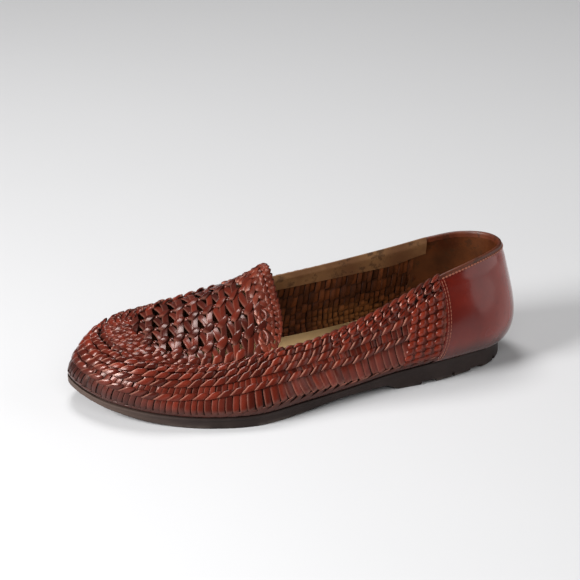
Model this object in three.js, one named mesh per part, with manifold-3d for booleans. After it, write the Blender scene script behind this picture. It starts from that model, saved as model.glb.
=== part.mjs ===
// Woven leather loafer, left shoe: rubber outsole, insole, one woven upper and a smooth heel counter.
// Millimetres, +Z up. The toe points to -X, the outer side of the foot is -Y, and the shoe stands on Z = 0.
import * as THREE from "three";
import { mergeVertices } from "three/addons/utils/BufferGeometryUtils.js";
import { ConvexGeometry } from "three/addons/geometries/ConvexGeometry.js";
import Module from "manifold-3d";

const wasm = await Module();
wasm.setup();

// Driving dimensions of the last
const FOOT_HEEL_X = 122; // feather line, where the upper meets the sole, at the heel
const FOOT_TOE_X = -126.5; // and at the toe
const TOP_HEEL_X = 123.5; // back of the topline
const TOP_TOE_X = -106; // front of the apron, the woven panel over the toes
const THROAT = 0.66; // share of the length from the heel to the throat's corners
const THROAT_MIDDLE = 0.617; // the tongue's edge runs back to this share in the middle
const CORNER_POWER = 6; // how late the tongue's edge turns forward to its corners

// Sections of the last, from the heel (along 0) to the toe (along 1). Centre and full give each outline's
// middle line and half width, foot and top the heights of the wall's two edges on the outer and inner side.
// flare and bow swell the wall outwards near its foot and its top, drop is the share of the rise by which
// its shoulder stays under the top, and crown is the rise of the apron over its edges.
const SECTIONS = table(
  "along footCentre footFull outerFoot innerFoot topCentre topFull outerTop innerTop flare bow drop crown",
  [
    [0.0, 0.0, 60.0, 10.5, 10.5, 0.0, 46.0, 66.3, 66.3, 17.0, 3.0, 0.4, 20.0],
    [0.06, 0.0, 52.0, 11.4, 11.4, 0.8, 41.0, 66.4, 64.4, 12.0, 3.0, 0.4, 20.0],
    [0.13, 0.0, 45.5, 12.2, 12.2, 0.8, 37.3, 64.5, 61.5, 8.0, 3.0, 0.4, 20.0],
    [0.22, -0.5, 41.0, 12.4, 12.7, 0.5, 33.4, 60.0, 58.0, 5.0, 3.0, 0.4, 20.0],
    [0.32, -2.4, 34.9, 10.4, 12.6, 0.5, 31.6, 51.5, 54.8, 3.5, 3.5, 0.38, 20.0],
    [0.43, -5.0, 33.8, 7.9, 12.0, 0.5, 31.4, 43.0, 51.8, 3.0, 4.0, 0.36, 20.0],
    [0.55, -6.3, 37.8, 7.0, 9.6, 0.5, 32.6, 36.6, 49.2, 3.0, 5.0, 0.33, 20.0],
    [0.66, -5.0, 46.0, 6.7, 7.0, 0.5, 35.4, 34.4, 46.8, 3.0, 7.0, 0.28, 17.5],
    [0.76, 0.6, 50.4, 6.4, 6.4, 2.3, 38.4, 30.0, 44.0, 3.0, 8.0, 0.22, 11.5],
    [0.85, 7.0, 52.0, 6.6, 6.6, 5.3, 44.0, 29.8, 40.3, 3.5, 9.0, 0.18, 6.5],
    [0.93, 12.3, 54.0, 9.1, 9.1, 8.5, 54.0, 32.0, 38.3, 4.0, 10.0, 0.16, 3.0],
    [1.0, 16.0, 56.0, 15.5, 15.5, 12.0, 70.0, 35.5, 35.5, 4.0, 11.0, 0.15, 0.5],
  ],
);
const FLARE_LIFT = 0.15; // share of the rise at which the wall's foot is swollen

// Tongue tab: a rounded peak that stands up at the throat
const TAB_RISE = 9.5;
const TAB_HALF_WIDTH = 0.32; // as a share of the apron's half width
const TAB_FRONT = 0.7; // share of the length where the tab starts to rise

// Leather
const UPPER_WALL = 2.0;
const GAP = 0.3; // between neighbouring pieces
const SEAT = 0.45; // height of the wall's foot over the sole, whose top leans to one side under it
const COUNTER_WALL = 1.4;
const STRIP_PITCH = 9.0; // strips that stand up the side wall
const RIDGE_RADIUS = 2.1; // rope that joins the apron to the side wall
const RIDGE_SIDES = 6;
const RIDGE_STEPS = 44;
const RIDGE_POINTS = 36; // places that its path is drawn through

// Bands of the woven side wall, from the sole up: share of the wall where each starts and ends,
// how far its strips stand out, and how far the strips between them stay back
const BANDS = table("from to high low shift", [
  [0.0, 0.09, 0.9, 0.5, 0],
  [0.11, 0.37, 0.7, 0.0, 0],
  [0.4, 0.53, 1.4, 0.8, 1],
  [0.56, 0.65, 0.7, 0.0, 1],
  [0.68, 0.82, 1.4, 0.8, 0],
  [0.85, 1.0, 1.5, 0.9, 1],
]);
const INNER_ROWS = [1, 0.55, 0.2, 0]; // shares of the wall for its smooth inner face

// Heel counter: shares of the length of its front edge at the topline, and how far its middle is hollowed back
const COUNTER_OUTER = { edge: 0.222, hollow: 0.024 };
const COUNTER_INNER = { edge: 0.15, hollow: 0.02 };
const HOLLOW_POWER = 0.8; // how early the edge turns back into its hollow
const COUNTER_MARGIN = 0.028; // the strips start this far in front of it
const COUNTER_COLUMNS = 12; // on each side
const COUNTER_RISES = [0, 0.04, 0.09, 0.16, 0.25, 0.37, 0.53, 0.75, 1];
const COVERED_STEPS = 7; // sections of the wall under each half of the counter
const ROUND_MARKS = 600; // places at which the wall is measured to set out its strips
const ROUND_RISE = 0.3; // share of the wall where it is measured

// Apron weave: lengthwise rows, and the gaps left between the crossed strips
const APRON_INTERVALS = 5;
const APRON_STEPS = 14;
const APRON_END = 0.997; // share of the length where the apron ends at the toe
const ROW_HIGH = 0.9;
const GAP_PITCH = 4.6;
const GAP_BASE = 3.8; // width of a gap at its row
const GAP_EDGE = 0.18; // share of an interval that the row itself covers
const GAP_FIRST = 0.69; // share of the length of the gaps nearest the throat
const GAP_LAST = 0.93; // and nearest the toe

// Outsole
const LEDGE = 1.5; // the sole stands out this far round the upper
const LIP = 0.6; // raised line round the top of the sole's side
const LIP_HEIGHT = 1.8;
const EDGE_ROUND = 1.2; // the bottom edge is drawn in
const HEEL_TUCK = 3.0; // and more so at the heel's back
const HEEL_BEVEL = 3.0; // rise of the tread at the heel's back
const HEEL_BEVEL_RUN = 12;
const ARCH_CLEARANCE = 3.2;
const ARCH_INNER_LIFT = 3.0;
const BREAST_X = 47; // front of the heel
const BREAST_RUN = 7;
const WAIST_RUN = 20; // the arch keeps its full height for this far in front of the breast
const FOREFOOT_FLAT_X = -28; // the arch starts to rise behind this
const TOE_SPRING_X = -68; // the sole curves up in front of this
const TOE_SPRING = 11.2;
const TOE_SPRING_POWER = 2.6;
const SOLE_STEPS = 44;
const TREAD = table("x width depth", [
  [66.2, 10.0, 1.3],
  [82.0, 1.8, 2.0],
  [98.5, 9.0, 1.3],
  [112.5, 1.8, 2.0],
]);

// Insole
const INSOLE_WALL = 3.0;
const INSOLE_INSET = 2.9;
const INSOLE_STEPS = 30;

// Turns rows of numbers into rows with named columns.
function table(names, rows) {
  const keys = names.split(" ");
  return rows.map((row) => Object.fromEntries(keys.map((key, i) => [key, row[i]])));
}

// Angle round the last for a share of the length: 0 at the heel's back, PI at the toe's tip.
function angleAt(along) {
  return Math.acos(1 - 2 * along);
}

function alongAt(angle) {
  return (1 - Math.cos(angle)) / 2;
}

// Smooth function of one column of the sections.
function column(name) {
  const at = SECTIONS.map((row) => angleAt(row.along));
  const value = SECTIONS.map((row) => row[name]);
  const last = at.length - 1;
  const slope = at.map((_, i) =>
    i === 0 || i === last ? 0 : (value[i + 1] - value[i - 1]) / (at[i + 1] - at[i - 1]),
  );
  return (angle) => {
    let i = 0;
    while (i < last - 1 && angle > at[i + 1]) i += 1;
    const run = at[i + 1] - at[i];
    const s = (angle - at[i]) / run;
    const held = value[i] * (1 + 2 * s) + slope[i] * run * s;
    const next = value[i + 1] * (3 - 2 * s) - slope[i + 1] * run * (1 - s);
    return held * (1 - s) ** 2 + next * s ** 2;
  };
}

const last = Object.fromEntries(
  Object.keys(SECTIONS[0]).map((name) => [name, column(name)]),
);

// A turn runs once round the shoe: heel back at 0, outer side, toe at PI, inner side, heel back at 2 PI.
function sideOf(turn) {
  return turn <= Math.PI ? -1 : 1;
}

function foldOf(turn) {
  return turn <= Math.PI ? turn : 2 * Math.PI - turn;
}

function outline(turn, heelX, toeX, centre, full) {
  const angle = foldOf(turn);
  const x = heelX + (toeX - heelX) * alongAt(angle);
  const y = centre(angle) + sideOf(turn) * full(angle) * Math.sin(angle);
  return new THREE.Vector3(x, y, 0);
}

// Foot of the wall: the feather line that sits on the sole.
function footPoint(turn) {
  const angle = foldOf(turn);
  const foot = outline(turn, FOOT_HEEL_X, FOOT_TOE_X, last.footCentre, last.footFull);
  foot.z = (sideOf(turn) < 0 ? last.outerFoot(angle) : last.innerFoot(angle)) + SEAT;
  return foot;
}

// Top of the wall: the topline behind the throat, and the apron's edge in front of it.
function topPoint(turn) {
  const angle = foldOf(turn);
  const top = outline(turn, TOP_HEEL_X, TOP_TOE_X, last.topCentre, last.topFull);
  top.z = sideOf(turn) < 0 ? last.outerTop(angle) : last.innerTop(angle);
  return top;
}

function outward(turn) {
  const step = 1e-3;
  const along = footPoint(turn + step).sub(footPoint(turn - step));
  return new THREE.Vector3(along.y, -along.x, 0).normalize().negate();
}

// Outer face of the upper's side wall; rise is 0 at the sole and 1 at the top.
function wallPoint(turn, rise) {
  const angle = foldOf(turn);
  const foot = footPoint(turn);
  const top = topPoint(turn);
  const height = top.z - foot.z;
  const out = outward(turn);
  const swell = foot.clone().addScaledVector(out, last.flare(angle));
  swell.z += FLARE_LIFT * height;
  const shoulder = top.clone().addScaledVector(out, last.bow(angle));
  shoulder.z -= last.drop(angle) * height;
  return new THREE.CubicBezierCurve3(foot, swell, shoulder, top).getPoint(rise);
}

// Normal of a surface of two variables, pointing away from the foot.
function normalOf(surface, a, b) {
  const step = 2e-3;
  const across = surface(a + step, b).sub(surface(a - step, b));
  const up = surface(a, b + step).sub(surface(a, b - step));
  return across.cross(up).normalize();
}

function wallNormal(turn, rise) {
  return normalOf(wallPoint, turn, Math.min(Math.max(rise, 0.01), 0.99)).negate();
}

// A point off the wall along its normal; near the sole it moves level, so that the foot stays in its plane.
function offWall(turn, rise, distance) {
  const normal = wallNormal(turn, rise);
  normal.z *= THREE.MathUtils.smoothstep(rise, 0, 0.12);
  return wallPoint(turn, rise).addScaledVector(normal.normalize(), distance);
}

// Outer face of the apron: across runs from -1 at the outer edge to 1 at the inner edge.
function apronPoint(angle, across) {
  const outer = topPoint(angle);
  const inner = topPoint(2 * Math.PI - angle);
  const point = outer.lerp(inner, (across + 1) / 2);
  const along = alongAt(angle);
  const tab = TAB_RISE * (1 - THREE.MathUtils.smoothstep(along, THROAT_MIDDLE, TAB_FRONT));
  point.z += last.crown(angle) * (1 - across ** 2);
  point.z += tab * Math.exp(-((across / TAB_HALF_WIDTH) ** 2));
  return point;
}

function apronNormal(angle, across) {
  const normal = normalOf(apronPoint, angle, across);
  return normal.z < 0 ? normal.negate() : normal;
}

function offApron(angle, across, distance) {
  return apronPoint(angle, across).addScaledVector(apronNormal(angle, across), distance);
}

// Share of the length where the tongue's edge lies.
function throatAlong(across) {
  return THROAT_MIDDLE + (THROAT - THROAT_MIDDLE) * Math.abs(across) ** CORNER_POWER;
}

// Closed mesh as a solid, turned right side out.
function solidOf(geometry) {
  const bare = new THREE.BufferGeometry().setAttribute("position", geometry.getAttribute("position"));
  if (geometry.index) bare.setIndex(geometry.index);
  const merged = mergeVertices(bare, 1e-3);
  const corners = [];
  for (let i = 0; i < merged.index.count; i += 3) {
    const [a, b, c] = [0, 1, 2].map((k) => merged.index.getX(i + k));
    if (a !== b && b !== c && c !== a) corners.push(a, b, c);
  }
  const made = (triVerts) =>
    new wasm.Manifold(
      new wasm.Mesh({
        numProp: 3,
        vertProperties: merged.getAttribute("position").array,
        triVerts: new Uint32Array(triVerts),
      }),
    );
  const solid = made(corners);
  return solid.volume() < 0 ? made(corners.reverse()) : solid;
}

// Solid skin through rings of points. Each ring is an outer run and the same run back on the inner side.
function loft(rings, closed = false) {
  const size = rings[0].length;
  const position = rings.flat().flatMap((point) => point.toArray());
  const index = [];
  const quad = (a, b, c, d) => index.push(a, b, c, a, c, d);
  const bands = closed ? rings.length : rings.length - 1;
  for (let i = 0; i < bands; i += 1) {
    const here = i * size;
    const next = ((i + 1) % rings.length) * size;
    for (let j = 0; j < size; j += 1) {
      const k = (j + 1) % size;
      quad(here + j, next + j, next + k, here + k);
    }
  }
  if (!closed) {
    const end = (rings.length - 1) * size;
    for (let j = 0; j < size / 2 - 1; j += 1) {
      const back = size - 1 - j;
      quad(j, j + 1, back - 1, back);
      quad(end + back, end + back - 1, end + j + 1, end + j);
    }
  }
  const geometry = new THREE.BufferGeometry();
  geometry.setAttribute("position", new THREE.Float32BufferAttribute(position, 3));
  geometry.setIndex(index);
  return solidOf(geometry);
}

function geometryOf(solid) {
  const { vertProperties, triVerts } = solid.getMesh();
  const geometry = new THREE.BufferGeometry();
  geometry.setAttribute("position", new THREE.Float32BufferAttribute(vertProperties, 3));
  geometry.setIndex(new THREE.BufferAttribute(new Uint32Array(triVerts), 1));
  geometry.computeVertexNormals();
  return geometry;
}

function evenly(from, to, steps) {
  return Array.from({ length: steps + 1 }, (_, i) => from + ((to - from) * i) / steps);
}

// Share of the length of the counter's front edge at a height of the wall; its middle is hollowed back.
function counterAlong(edge, rise) {
  return edge.edge - edge.hollow * Math.abs(Math.sin(Math.PI * rise)) ** HOLLOW_POWER;
}

// Turns round the wall at which it has a section: closely where strips stand, sparsely under the counter.
function wallTurns() {
  const outerEnd = angleAt(COUNTER_OUTER.edge - COUNTER_OUTER.hollow);
  const innerEnd = 2 * Math.PI - angleAt(COUNTER_INNER.edge - COUNTER_INNER.hollow);
  const turns = [...evenly(0, outerEnd, COVERED_STEPS).slice(0, -1)];
  const marks = evenly(outerEnd, innerEnd, ROUND_MARKS).map((turn) => ({
    turn,
    point: wallPoint(turn, ROUND_RISE),
  }));
  let length = 0;
  let next = 0;
  marks.forEach((mark, i) => {
    if (i > 0) length += mark.point.distanceTo(marks[i - 1].point);
    if (length < next) return;
    turns.push(mark.turn);
    next += STRIP_PITCH / 2;
  });
  turns.push(...evenly(innerEnd, 2 * Math.PI, COVERED_STEPS).slice(1, -1));
  return turns;
}

// How far the woven wall stands out at one strip: odd and even strips alternate, and rows of braid are offset.
function weaveHeight(turn, rise, index, band) {
  const edge = sideOf(turn) < 0 ? COUNTER_OUTER : COUNTER_INNER;
  if (alongAt(foldOf(turn)) < counterAlong(edge, rise) + COUNTER_MARGIN) return 0;
  return (index + band.shift) % 2 === 0 ? band.high : band.low;
}

function sideWall() {
  const rings = wallTurns().map((turn, i) => {
    const outer = BANDS.flatMap((band) =>
      [band.from, band.to].map((rise) => offWall(turn, rise, weaveHeight(turn, rise, i, band))),
    );
    const inner = INNER_ROWS.map((rise) => offWall(turn, rise, -UPPER_WALL));
    return [...outer, ...inner];
  });
  return loft(rings, true);
}

function apronPanel() {
  const acrosses = evenly(-1, 1, 2 * APRON_INTERVALS);
  const rings = evenly(0, 1, APRON_STEPS).map((step) => {
    const angles = acrosses.map((across) => {
      const from = angleAt(throatAlong(across));
      return from + (angleAt(APRON_END) - from) * step;
    });
    const outer = acrosses.map((across, j) => {
      const row = j % 2 === 0 || step === 0;
      return offApron(angles[j], across, row ? ROW_HIGH : 0);
    });
    const inner = acrosses.map((across, j) => offApron(angles[j], across, -UPPER_WALL));
    return [...outer, ...inner.reverse()];
  });
  return loft(rings);
}

// Rope along the apron's edge, from one corner of the throat round the toe to the other.
function apronRidge() {
  const start = angleAt(THROAT);
  const path = evenly(start, 2 * Math.PI - start, RIDGE_POINTS).map((turn) => topPoint(turn));
  const section = new THREE.Shape(
    evenly(0, 2 * Math.PI, RIDGE_SIDES)
      .slice(0, -1)
      .map((a) => new THREE.Vector2(RIDGE_RADIUS * Math.cos(a), RIDGE_RADIUS * Math.sin(a))),
  );
  const rope = new THREE.ExtrudeGeometry(section, {
    steps: RIDGE_STEPS,
    extrudePath: new THREE.CatmullRomCurve3(path),
  });
  return solidOf(rope);
}

// Three-cornered gaps between the zigzag strips of the apron, point towards the inner and outer side in turn.
function apronGaps() {
  const gaps = [];
  const reach = (TOP_HEEL_X - TOP_TOE_X) * (GAP_LAST - GAP_FIRST);
  const count = Math.floor(reach / GAP_PITCH);
  const share = GAP_BASE / (TOP_HEEL_X - TOP_TOE_X) / 2;
  for (let row = 0; row < APRON_INTERVALS; row += 1) {
    const low = -1 + (2 * (row + GAP_EDGE)) / APRON_INTERVALS;
    const high = -1 + (2 * (row + 1 - GAP_EDGE)) / APRON_INTERVALS;
    for (let k = 0; k <= count; k += 1) {
      const along = GAP_FIRST + ((GAP_LAST - GAP_FIRST) * (k + (row % 2) / 2)) / (count + 0.5);
      const [base, point] = k % 2 === 0 ? [low, high] : [high, low];
      const corners = [
        [along - share, base],
        [along + share, base],
        [along, point],
      ];
      const points = corners.flatMap(([at, across]) =>
        [-2 * UPPER_WALL, UPPER_WALL + ROW_HIGH].map((distance) => offApron(angleAt(at), across, distance)),
      );
      gaps.push(solidOf(new ConvexGeometry(points)));
    }
  }
  return gaps;
}

function upperSolid() {
  const joined = sideWall().add(apronPanel()).add(apronRidge());
  return apronGaps().reduce((upper, gap) => upper.subtract(gap), joined);
}

// Heel counter: one panel of smooth leather laid over the back of the upper's wall.
function counterSolid() {
  const shares = evenly(-1, 1, 2 * COUNTER_COLUMNS);
  const rings = shares.map((share) => {
    const face = (distance) => (rise) => {
      const edge = share < 0 ? COUNTER_INNER : COUNTER_OUTER;
      const angle = angleAt(counterAlong(edge, rise)) * Math.abs(share);
      const turn = share < 0 ? 2 * Math.PI - angle : angle;
      return offWall(turn, rise, distance);
    };
    return [...COUNTER_RISES.map(face(GAP + COUNTER_WALL)), ...COUNTER_RISES.map(face(GAP)).reverse()];
  });
  return loft(rings);
}

// Height of the sole's tread over the floor; side runs from -1 on the outer edge to 1 on the inner edge.
function treadHeight(x, side) {
  if (x < TOE_SPRING_X) {
    const share = (TOE_SPRING_X - x) / (TOE_SPRING_X - FOOT_TOE_X + LEDGE);
    return TOE_SPRING * share ** TOE_SPRING_POWER;
  }
  const heelEnd = FOOT_HEEL_X - HEEL_BEVEL_RUN;
  if (x > heelEnd) return HEEL_BEVEL * ((x - heelEnd) / (FOOT_HEEL_X + LEDGE - heelEnd)) ** 2;
  const rise = THREE.MathUtils.smoothstep(x, FOREFOOT_FLAT_X, BREAST_X - BREAST_RUN - WAIST_RUN);
  const fall = 1 - THREE.MathUtils.smoothstep(x, BREAST_X - BREAST_RUN, BREAST_X);
  return rise * fall * (ARCH_CLEARANCE + (ARCH_INNER_LIFT * (side + 1)) / 2);
}

function soleTop(angle, side) {
  return THREE.MathUtils.lerp(last.outerFoot(angle), last.innerFoot(angle), (side + 1) / 2);
}

// Section of the outsole: the tread across, the side with its lip, and the top back across.
function soleSection(angle) {
  const x = outline(angle, FOOT_HEEL_X + LEDGE, FOOT_TOE_X - LEDGE, last.footCentre, last.footFull).x;
  const centre = last.footCentre(angle);
  const half = (last.footFull(angle) + LEDGE) * Math.sin(angle);
  const heel = THREE.MathUtils.smoothstep(x, BREAST_X, FOOT_HEEL_X);
  const drawn = Math.min(EDGE_ROUND + HEEL_TUCK * heel, half / 2);
  const lip = Math.min(LIP, half / 4);
  const tuckX = x + (x < 0 ? 1 : -1) * drawn * Math.abs(Math.cos(angle)) ** 4;
  const at = (side, width, z, atX = x) => new THREE.Vector3(atX, centre + side * width, z);
  const edge = (side) => {
    const tread = treadHeight(x, side);
    const top = soleTop(angle, side);
    return [
      at(side, half - drawn, tread, tuckX),
      at(side, half - lip, tread + EDGE_ROUND),
      at(side, half - lip, top - LIP_HEIGHT),
      at(side, half, top - LIP_HEIGHT + LIP / 2),
      at(side, half, top),
    ];
  };
  const inner = [-0.5, 0, 0.5];
  const tread = inner.map((side) => at(side, half - drawn, treadHeight(x, side), tuckX));
  const top = inner.map((side) => at(side, half, soleTop(angle, side)));
  return [...edge(-1).reverse(), ...tread, ...edge(1), ...top.reverse()];
}

// Angles of the sole's sections, with extra ones at the ends of the heel's breast.
function soleAngles() {
  const breast = [BREAST_X, BREAST_X - BREAST_RUN / 2, BREAST_X - BREAST_RUN];
  const marks = breast.map(soleAngle);
  return [...evenly(0, Math.PI, SOLE_STEPS), ...marks].sort((a, b) => a - b);
}

// Rings whose points go once round a section, closed at both ends where the section shrinks to a line.
function loftSections(sections) {
  const size = sections[0].length;
  const paired = sections.map((ring) => ring.map((_, i) => ring[(i + size - 1) % size]));
  return loft(paired);
}

function outsoleSolid() {
  const sole = loftSections(soleAngles().map(soleSection));
  return TREAD.reduce((cut, groove) => {
    const box = new THREE.BoxGeometry(groove.width, 2 * FOOT_HEEL_X, 2 * groove.depth);
    return cut.subtract(solidOf(box.translate(groove.x, 0, 0)));
  }, sole);
}

// Angle round the outsole at a place along the shoe.
function soleAngle(x) {
  return angleAt((FOOT_HEEL_X + LEDGE - x) / (FOOT_HEEL_X - FOOT_TOE_X + 2 * LEDGE));
}

function soleHeight(x, y) {
  const angle = soleAngle(x);
  const half = (last.footFull(angle) + LEDGE) * Math.sin(angle);
  return soleTop(angle, (y - last.footCentre(angle)) / half);
}

function insoleSolid() {
  const heelX = FOOT_HEEL_X - INSOLE_INSET;
  const toeX = FOOT_TOE_X + INSOLE_INSET;
  const sections = evenly(0, Math.PI, INSOLE_STEPS).map((angle) => {
    const x = outline(angle, heelX, toeX, last.footCentre, last.footFull).x;
    const half = (last.footFull(angle) - INSOLE_INSET) * Math.sin(angle);
    const run = (sides, lift) =>
      sides.map((side) => {
        const y = last.footCentre(angle) + side * half;
        return new THREE.Vector3(x, y, soleHeight(x, y) + GAP + lift);
      });
    return [...run([-1, 0, 1], 0), ...run([1, 0, -1], INSOLE_WALL)];
  });
  return loft(sections);
}

// Finishes
const weaveLeather = new THREE.MeshStandardMaterial({ color: 0x7d3020, roughness: 0.42 });
const counterLeather = new THREE.MeshStandardMaterial({ color: 0x7a2a1a, roughness: 0.25 });
const soleRubber = new THREE.MeshStandardMaterial({ color: 0x2f2623, roughness: 0.7 });
const sockLeather = new THREE.MeshStandardMaterial({ color: 0xa88f5f, roughness: 0.65 });

function piece(name, solid, material) {
  const mesh = new THREE.Mesh(geometryOf(solid), material);
  mesh.name = name;
  return mesh;
}

const shoe = new THREE.Group();
shoe.add(
  piece("outsole", outsoleSolid(), soleRubber),
  piece("insole", insoleSolid(), sockLeather),
  piece("upper", upperSolid(), weaveLeather),
  piece("heel_counter", counterSolid(), counterLeather),
);

// The origin is the middle of the shoe's box, on the floor.
const box = new THREE.Box3().setFromObject(shoe, true);
const middle = box.getCenter(new THREE.Vector3());
shoe.position.set(-middle.x, -middle.y, -box.min.z);

const loafer = new THREE.Group();
loafer.add(shoe);

export default loafer;
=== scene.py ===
"""Looks of a woven leather loafer, the left shoe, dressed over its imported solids.

Metres, +Z up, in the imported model's frame: the toe points to -X and the outer side of the foot is -Y.
Leather pieces are laid out flat, by their way round the last and up its wall, and then drawn over the last.
"""

import math

import bmesh
import bpy
import numpy as np
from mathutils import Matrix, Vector


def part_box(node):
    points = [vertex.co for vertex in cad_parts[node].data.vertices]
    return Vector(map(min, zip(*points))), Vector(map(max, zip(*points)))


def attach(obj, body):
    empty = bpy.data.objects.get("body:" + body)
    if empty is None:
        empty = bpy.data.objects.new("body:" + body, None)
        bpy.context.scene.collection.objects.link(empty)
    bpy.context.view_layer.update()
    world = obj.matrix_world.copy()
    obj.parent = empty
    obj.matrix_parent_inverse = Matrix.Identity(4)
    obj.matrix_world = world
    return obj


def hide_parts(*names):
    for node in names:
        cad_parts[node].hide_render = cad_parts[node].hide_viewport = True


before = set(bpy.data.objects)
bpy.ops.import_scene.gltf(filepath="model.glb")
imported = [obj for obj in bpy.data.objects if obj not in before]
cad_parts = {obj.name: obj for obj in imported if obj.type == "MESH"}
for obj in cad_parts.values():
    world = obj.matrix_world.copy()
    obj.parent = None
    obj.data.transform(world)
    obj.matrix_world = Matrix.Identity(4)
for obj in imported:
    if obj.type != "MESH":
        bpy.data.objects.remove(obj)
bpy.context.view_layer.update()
MM = 0.001
BODY = "root"
chance = np.random.default_rng(11)

# Driving dimensions of the last, as in the solids
FOOT_HEEL_X = 122 * MM
FOOT_TOE_X = -126.5 * MM
TOP_HEEL_X = 123.5 * MM
TOP_TOE_X = -106 * MM
THROAT = 0.66
THROAT_MIDDLE = 0.617
CORNER_POWER = 6
FLARE_LIFT = 0.15
SEAT = 0.45 * MM
TAB_RISE = 9.5 * MM
TAB_HALF_WIDTH = 0.32
TAB_FRONT = 0.7
GIRTH_RISE = 0.35  # rise at which lengths round the wall are measured
CROWN_STRETCH = 1.08  # true width of the crowned apron for one of its flat width

# Sections of the last from heel to toe: lengths in millimetres, along and drop as shares
COLUMNS = (
    "along foot_centre foot_full outer_foot inner_foot top_centre top_full"
    " outer_top inner_top flare bow drop crown"
).split()
ROWS = [
    [0.00, 0.0, 60.0, 10.5, 10.5, 0.0, 46.0, 66.3, 66.3, 17.0, 3.0, 0.40, 20.0],
    [0.06, 0.0, 52.0, 11.4, 11.4, 0.8, 41.0, 66.4, 64.4, 12.0, 3.0, 0.40, 20.0],
    [0.13, 0.0, 45.5, 12.2, 12.2, 0.8, 37.3, 64.5, 61.5, 8.0, 3.0, 0.40, 20.0],
    [0.22, -0.5, 41.0, 12.4, 12.7, 0.5, 33.4, 60.0, 58.0, 5.0, 3.0, 0.40, 20.0],
    [0.32, -2.4, 34.9, 10.4, 12.6, 0.5, 31.6, 51.5, 54.8, 3.5, 3.5, 0.38, 20.0],
    [0.43, -5.0, 33.8, 7.9, 12.0, 0.5, 31.4, 43.0, 51.8, 3.0, 4.0, 0.36, 20.0],
    [0.55, -6.3, 37.8, 7.0, 9.6, 0.5, 32.6, 36.6, 49.2, 3.0, 5.0, 0.33, 20.0],
    [0.66, -5.0, 46.0, 6.7, 7.0, 0.5, 35.4, 34.4, 46.8, 3.0, 7.0, 0.28, 17.5],
    [0.76, 0.6, 50.4, 6.4, 6.4, 2.3, 38.4, 30.0, 44.0, 3.0, 8.0, 0.22, 11.5],
    [0.85, 7.0, 52.0, 6.6, 6.6, 5.3, 44.0, 29.8, 40.3, 3.5, 9.0, 0.18, 6.5],
    [0.93, 12.3, 54.0, 9.1, 9.1, 8.5, 54.0, 32.0, 38.3, 4.0, 10.0, 0.16, 3.0],
    [1.00, 16.0, 56.0, 15.5, 15.5, 12.0, 70.0, 35.5, 35.5, 4.0, 11.0, 0.15, 0.5],
]
SHARES = ("along", "drop")
SECTIONS = {
    name: np.array(values) * (1 if name in SHARES else MM)
    for name, values in zip(COLUMNS, zip(*ROWS))
}
SECTION_ANGLES = np.arccos(1 - 2 * SECTIONS["along"])

# Heel counter: shares of the length of its front edge, and how far its middle is hollowed back
COUNTER_OUTER = (0.222, 0.024)
COUNTER_INNER = (0.15, 0.02)
HOLLOW_POWER = 0.8
COUNTER_GAP = 0.3 * MM
COUNTER_WALL = 1.4 * MM

# Outsole
LEDGE = 1.5 * MM
LIP = 0.6 * MM
LIP_HEIGHT = 1.8 * MM
EDGE_ROUND = 1.2 * MM
HEEL_TUCK = 3.0 * MM
HEEL_BEVEL = 3.0 * MM
HEEL_BEVEL_RUN = 12 * MM
ARCH_CLEARANCE = 3.2 * MM
ARCH_INNER_LIFT = 3.0 * MM
BREAST_X = 47 * MM
BREAST_RUN = 7 * MM
WAIST_RUN = 20 * MM
FOREFOOT_FLAT_X = -28 * MM
TOE_SPRING_X = -68 * MM
TOE_SPRING = 11.2 * MM
TOE_SPRING_POWER = 2.6
HEEL_GROOVES = [(66.2 * MM, 10.0 * MM, 1.3 * MM), (82.0 * MM, 1.8 * MM, 2.0 * MM),
                (98.5 * MM, 9.0 * MM, 1.3 * MM), (112.5 * MM, 1.8 * MM, 2.0 * MM)]

# Insole
INSOLE_GAP = 0.3 * MM
INSOLE_WALL = 3.0 * MM
INSOLE_INSET = 2.9 * MM

# Weave of the side wall
STRIP_PITCH = 3.35 * MM
LOW_STRIP_PITCH = 4.5 * MM  # of the lowest strips along the back of the foot
STRIPS_FROM = 0.285  # share of the length where the upright strips start on the outer side
STRIPS_TO = 0.215  # and where they end on the inner side


def smoothstep(value, low, high):
    share = np.clip((value - low) / (high - low), 0, 1)
    return share * share * (3 - 2 * share)


def joined(*values):
    """Places from their separate values; a single number holds for all of them."""
    return np.stack(np.broadcast_arrays(*values), -1)


def unit(vectors):
    return vectors / np.linalg.norm(vectors, axis=-1, keepdims=True)


def angle_at(along):
    return np.arccos(1 - 2 * np.clip(along, 0, 1))


def along_at(angle):
    return (1 - np.cos(angle)) / 2


def section(name, angle):
    """Value of one column of the sections at an angle: 0 at the heel's back, pi at the toe's tip."""
    at, value = SECTION_ANGLES, SECTIONS[name]
    slope = np.zeros_like(value)
    slope[1:-1] = (value[2:] - value[:-2]) / (at[2:] - at[:-2])
    i = np.clip(np.searchsorted(at, angle, side="right") - 1, 0, len(at) - 2)
    run = at[i + 1] - at[i]
    s = (angle - at[i]) / run
    held = value[i] * (1 + 2 * s) + slope[i] * run * s
    following = value[i + 1] * (3 - 2 * s) - slope[i + 1] * run * (1 - s)
    return held * (1 - s) ** 2 + following * s**2


def fold(turn):
    """Whether a turn round the shoe is on the outer side, and its angle from the heel's back."""
    turn = np.mod(turn, 2 * np.pi)
    outer = turn <= np.pi
    return outer, np.where(outer, turn, 2 * np.pi - turn)


def outline(turn, heel_x, toe_x, centre, full, grow=0.0):
    outer, angle = fold(turn)
    x = heel_x + grow + (toe_x - heel_x - 2 * grow) * along_at(angle)
    half = (section(full, angle) + grow) * np.sin(angle)
    return x, section(centre, angle) + np.where(outer, -half, half)


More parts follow.
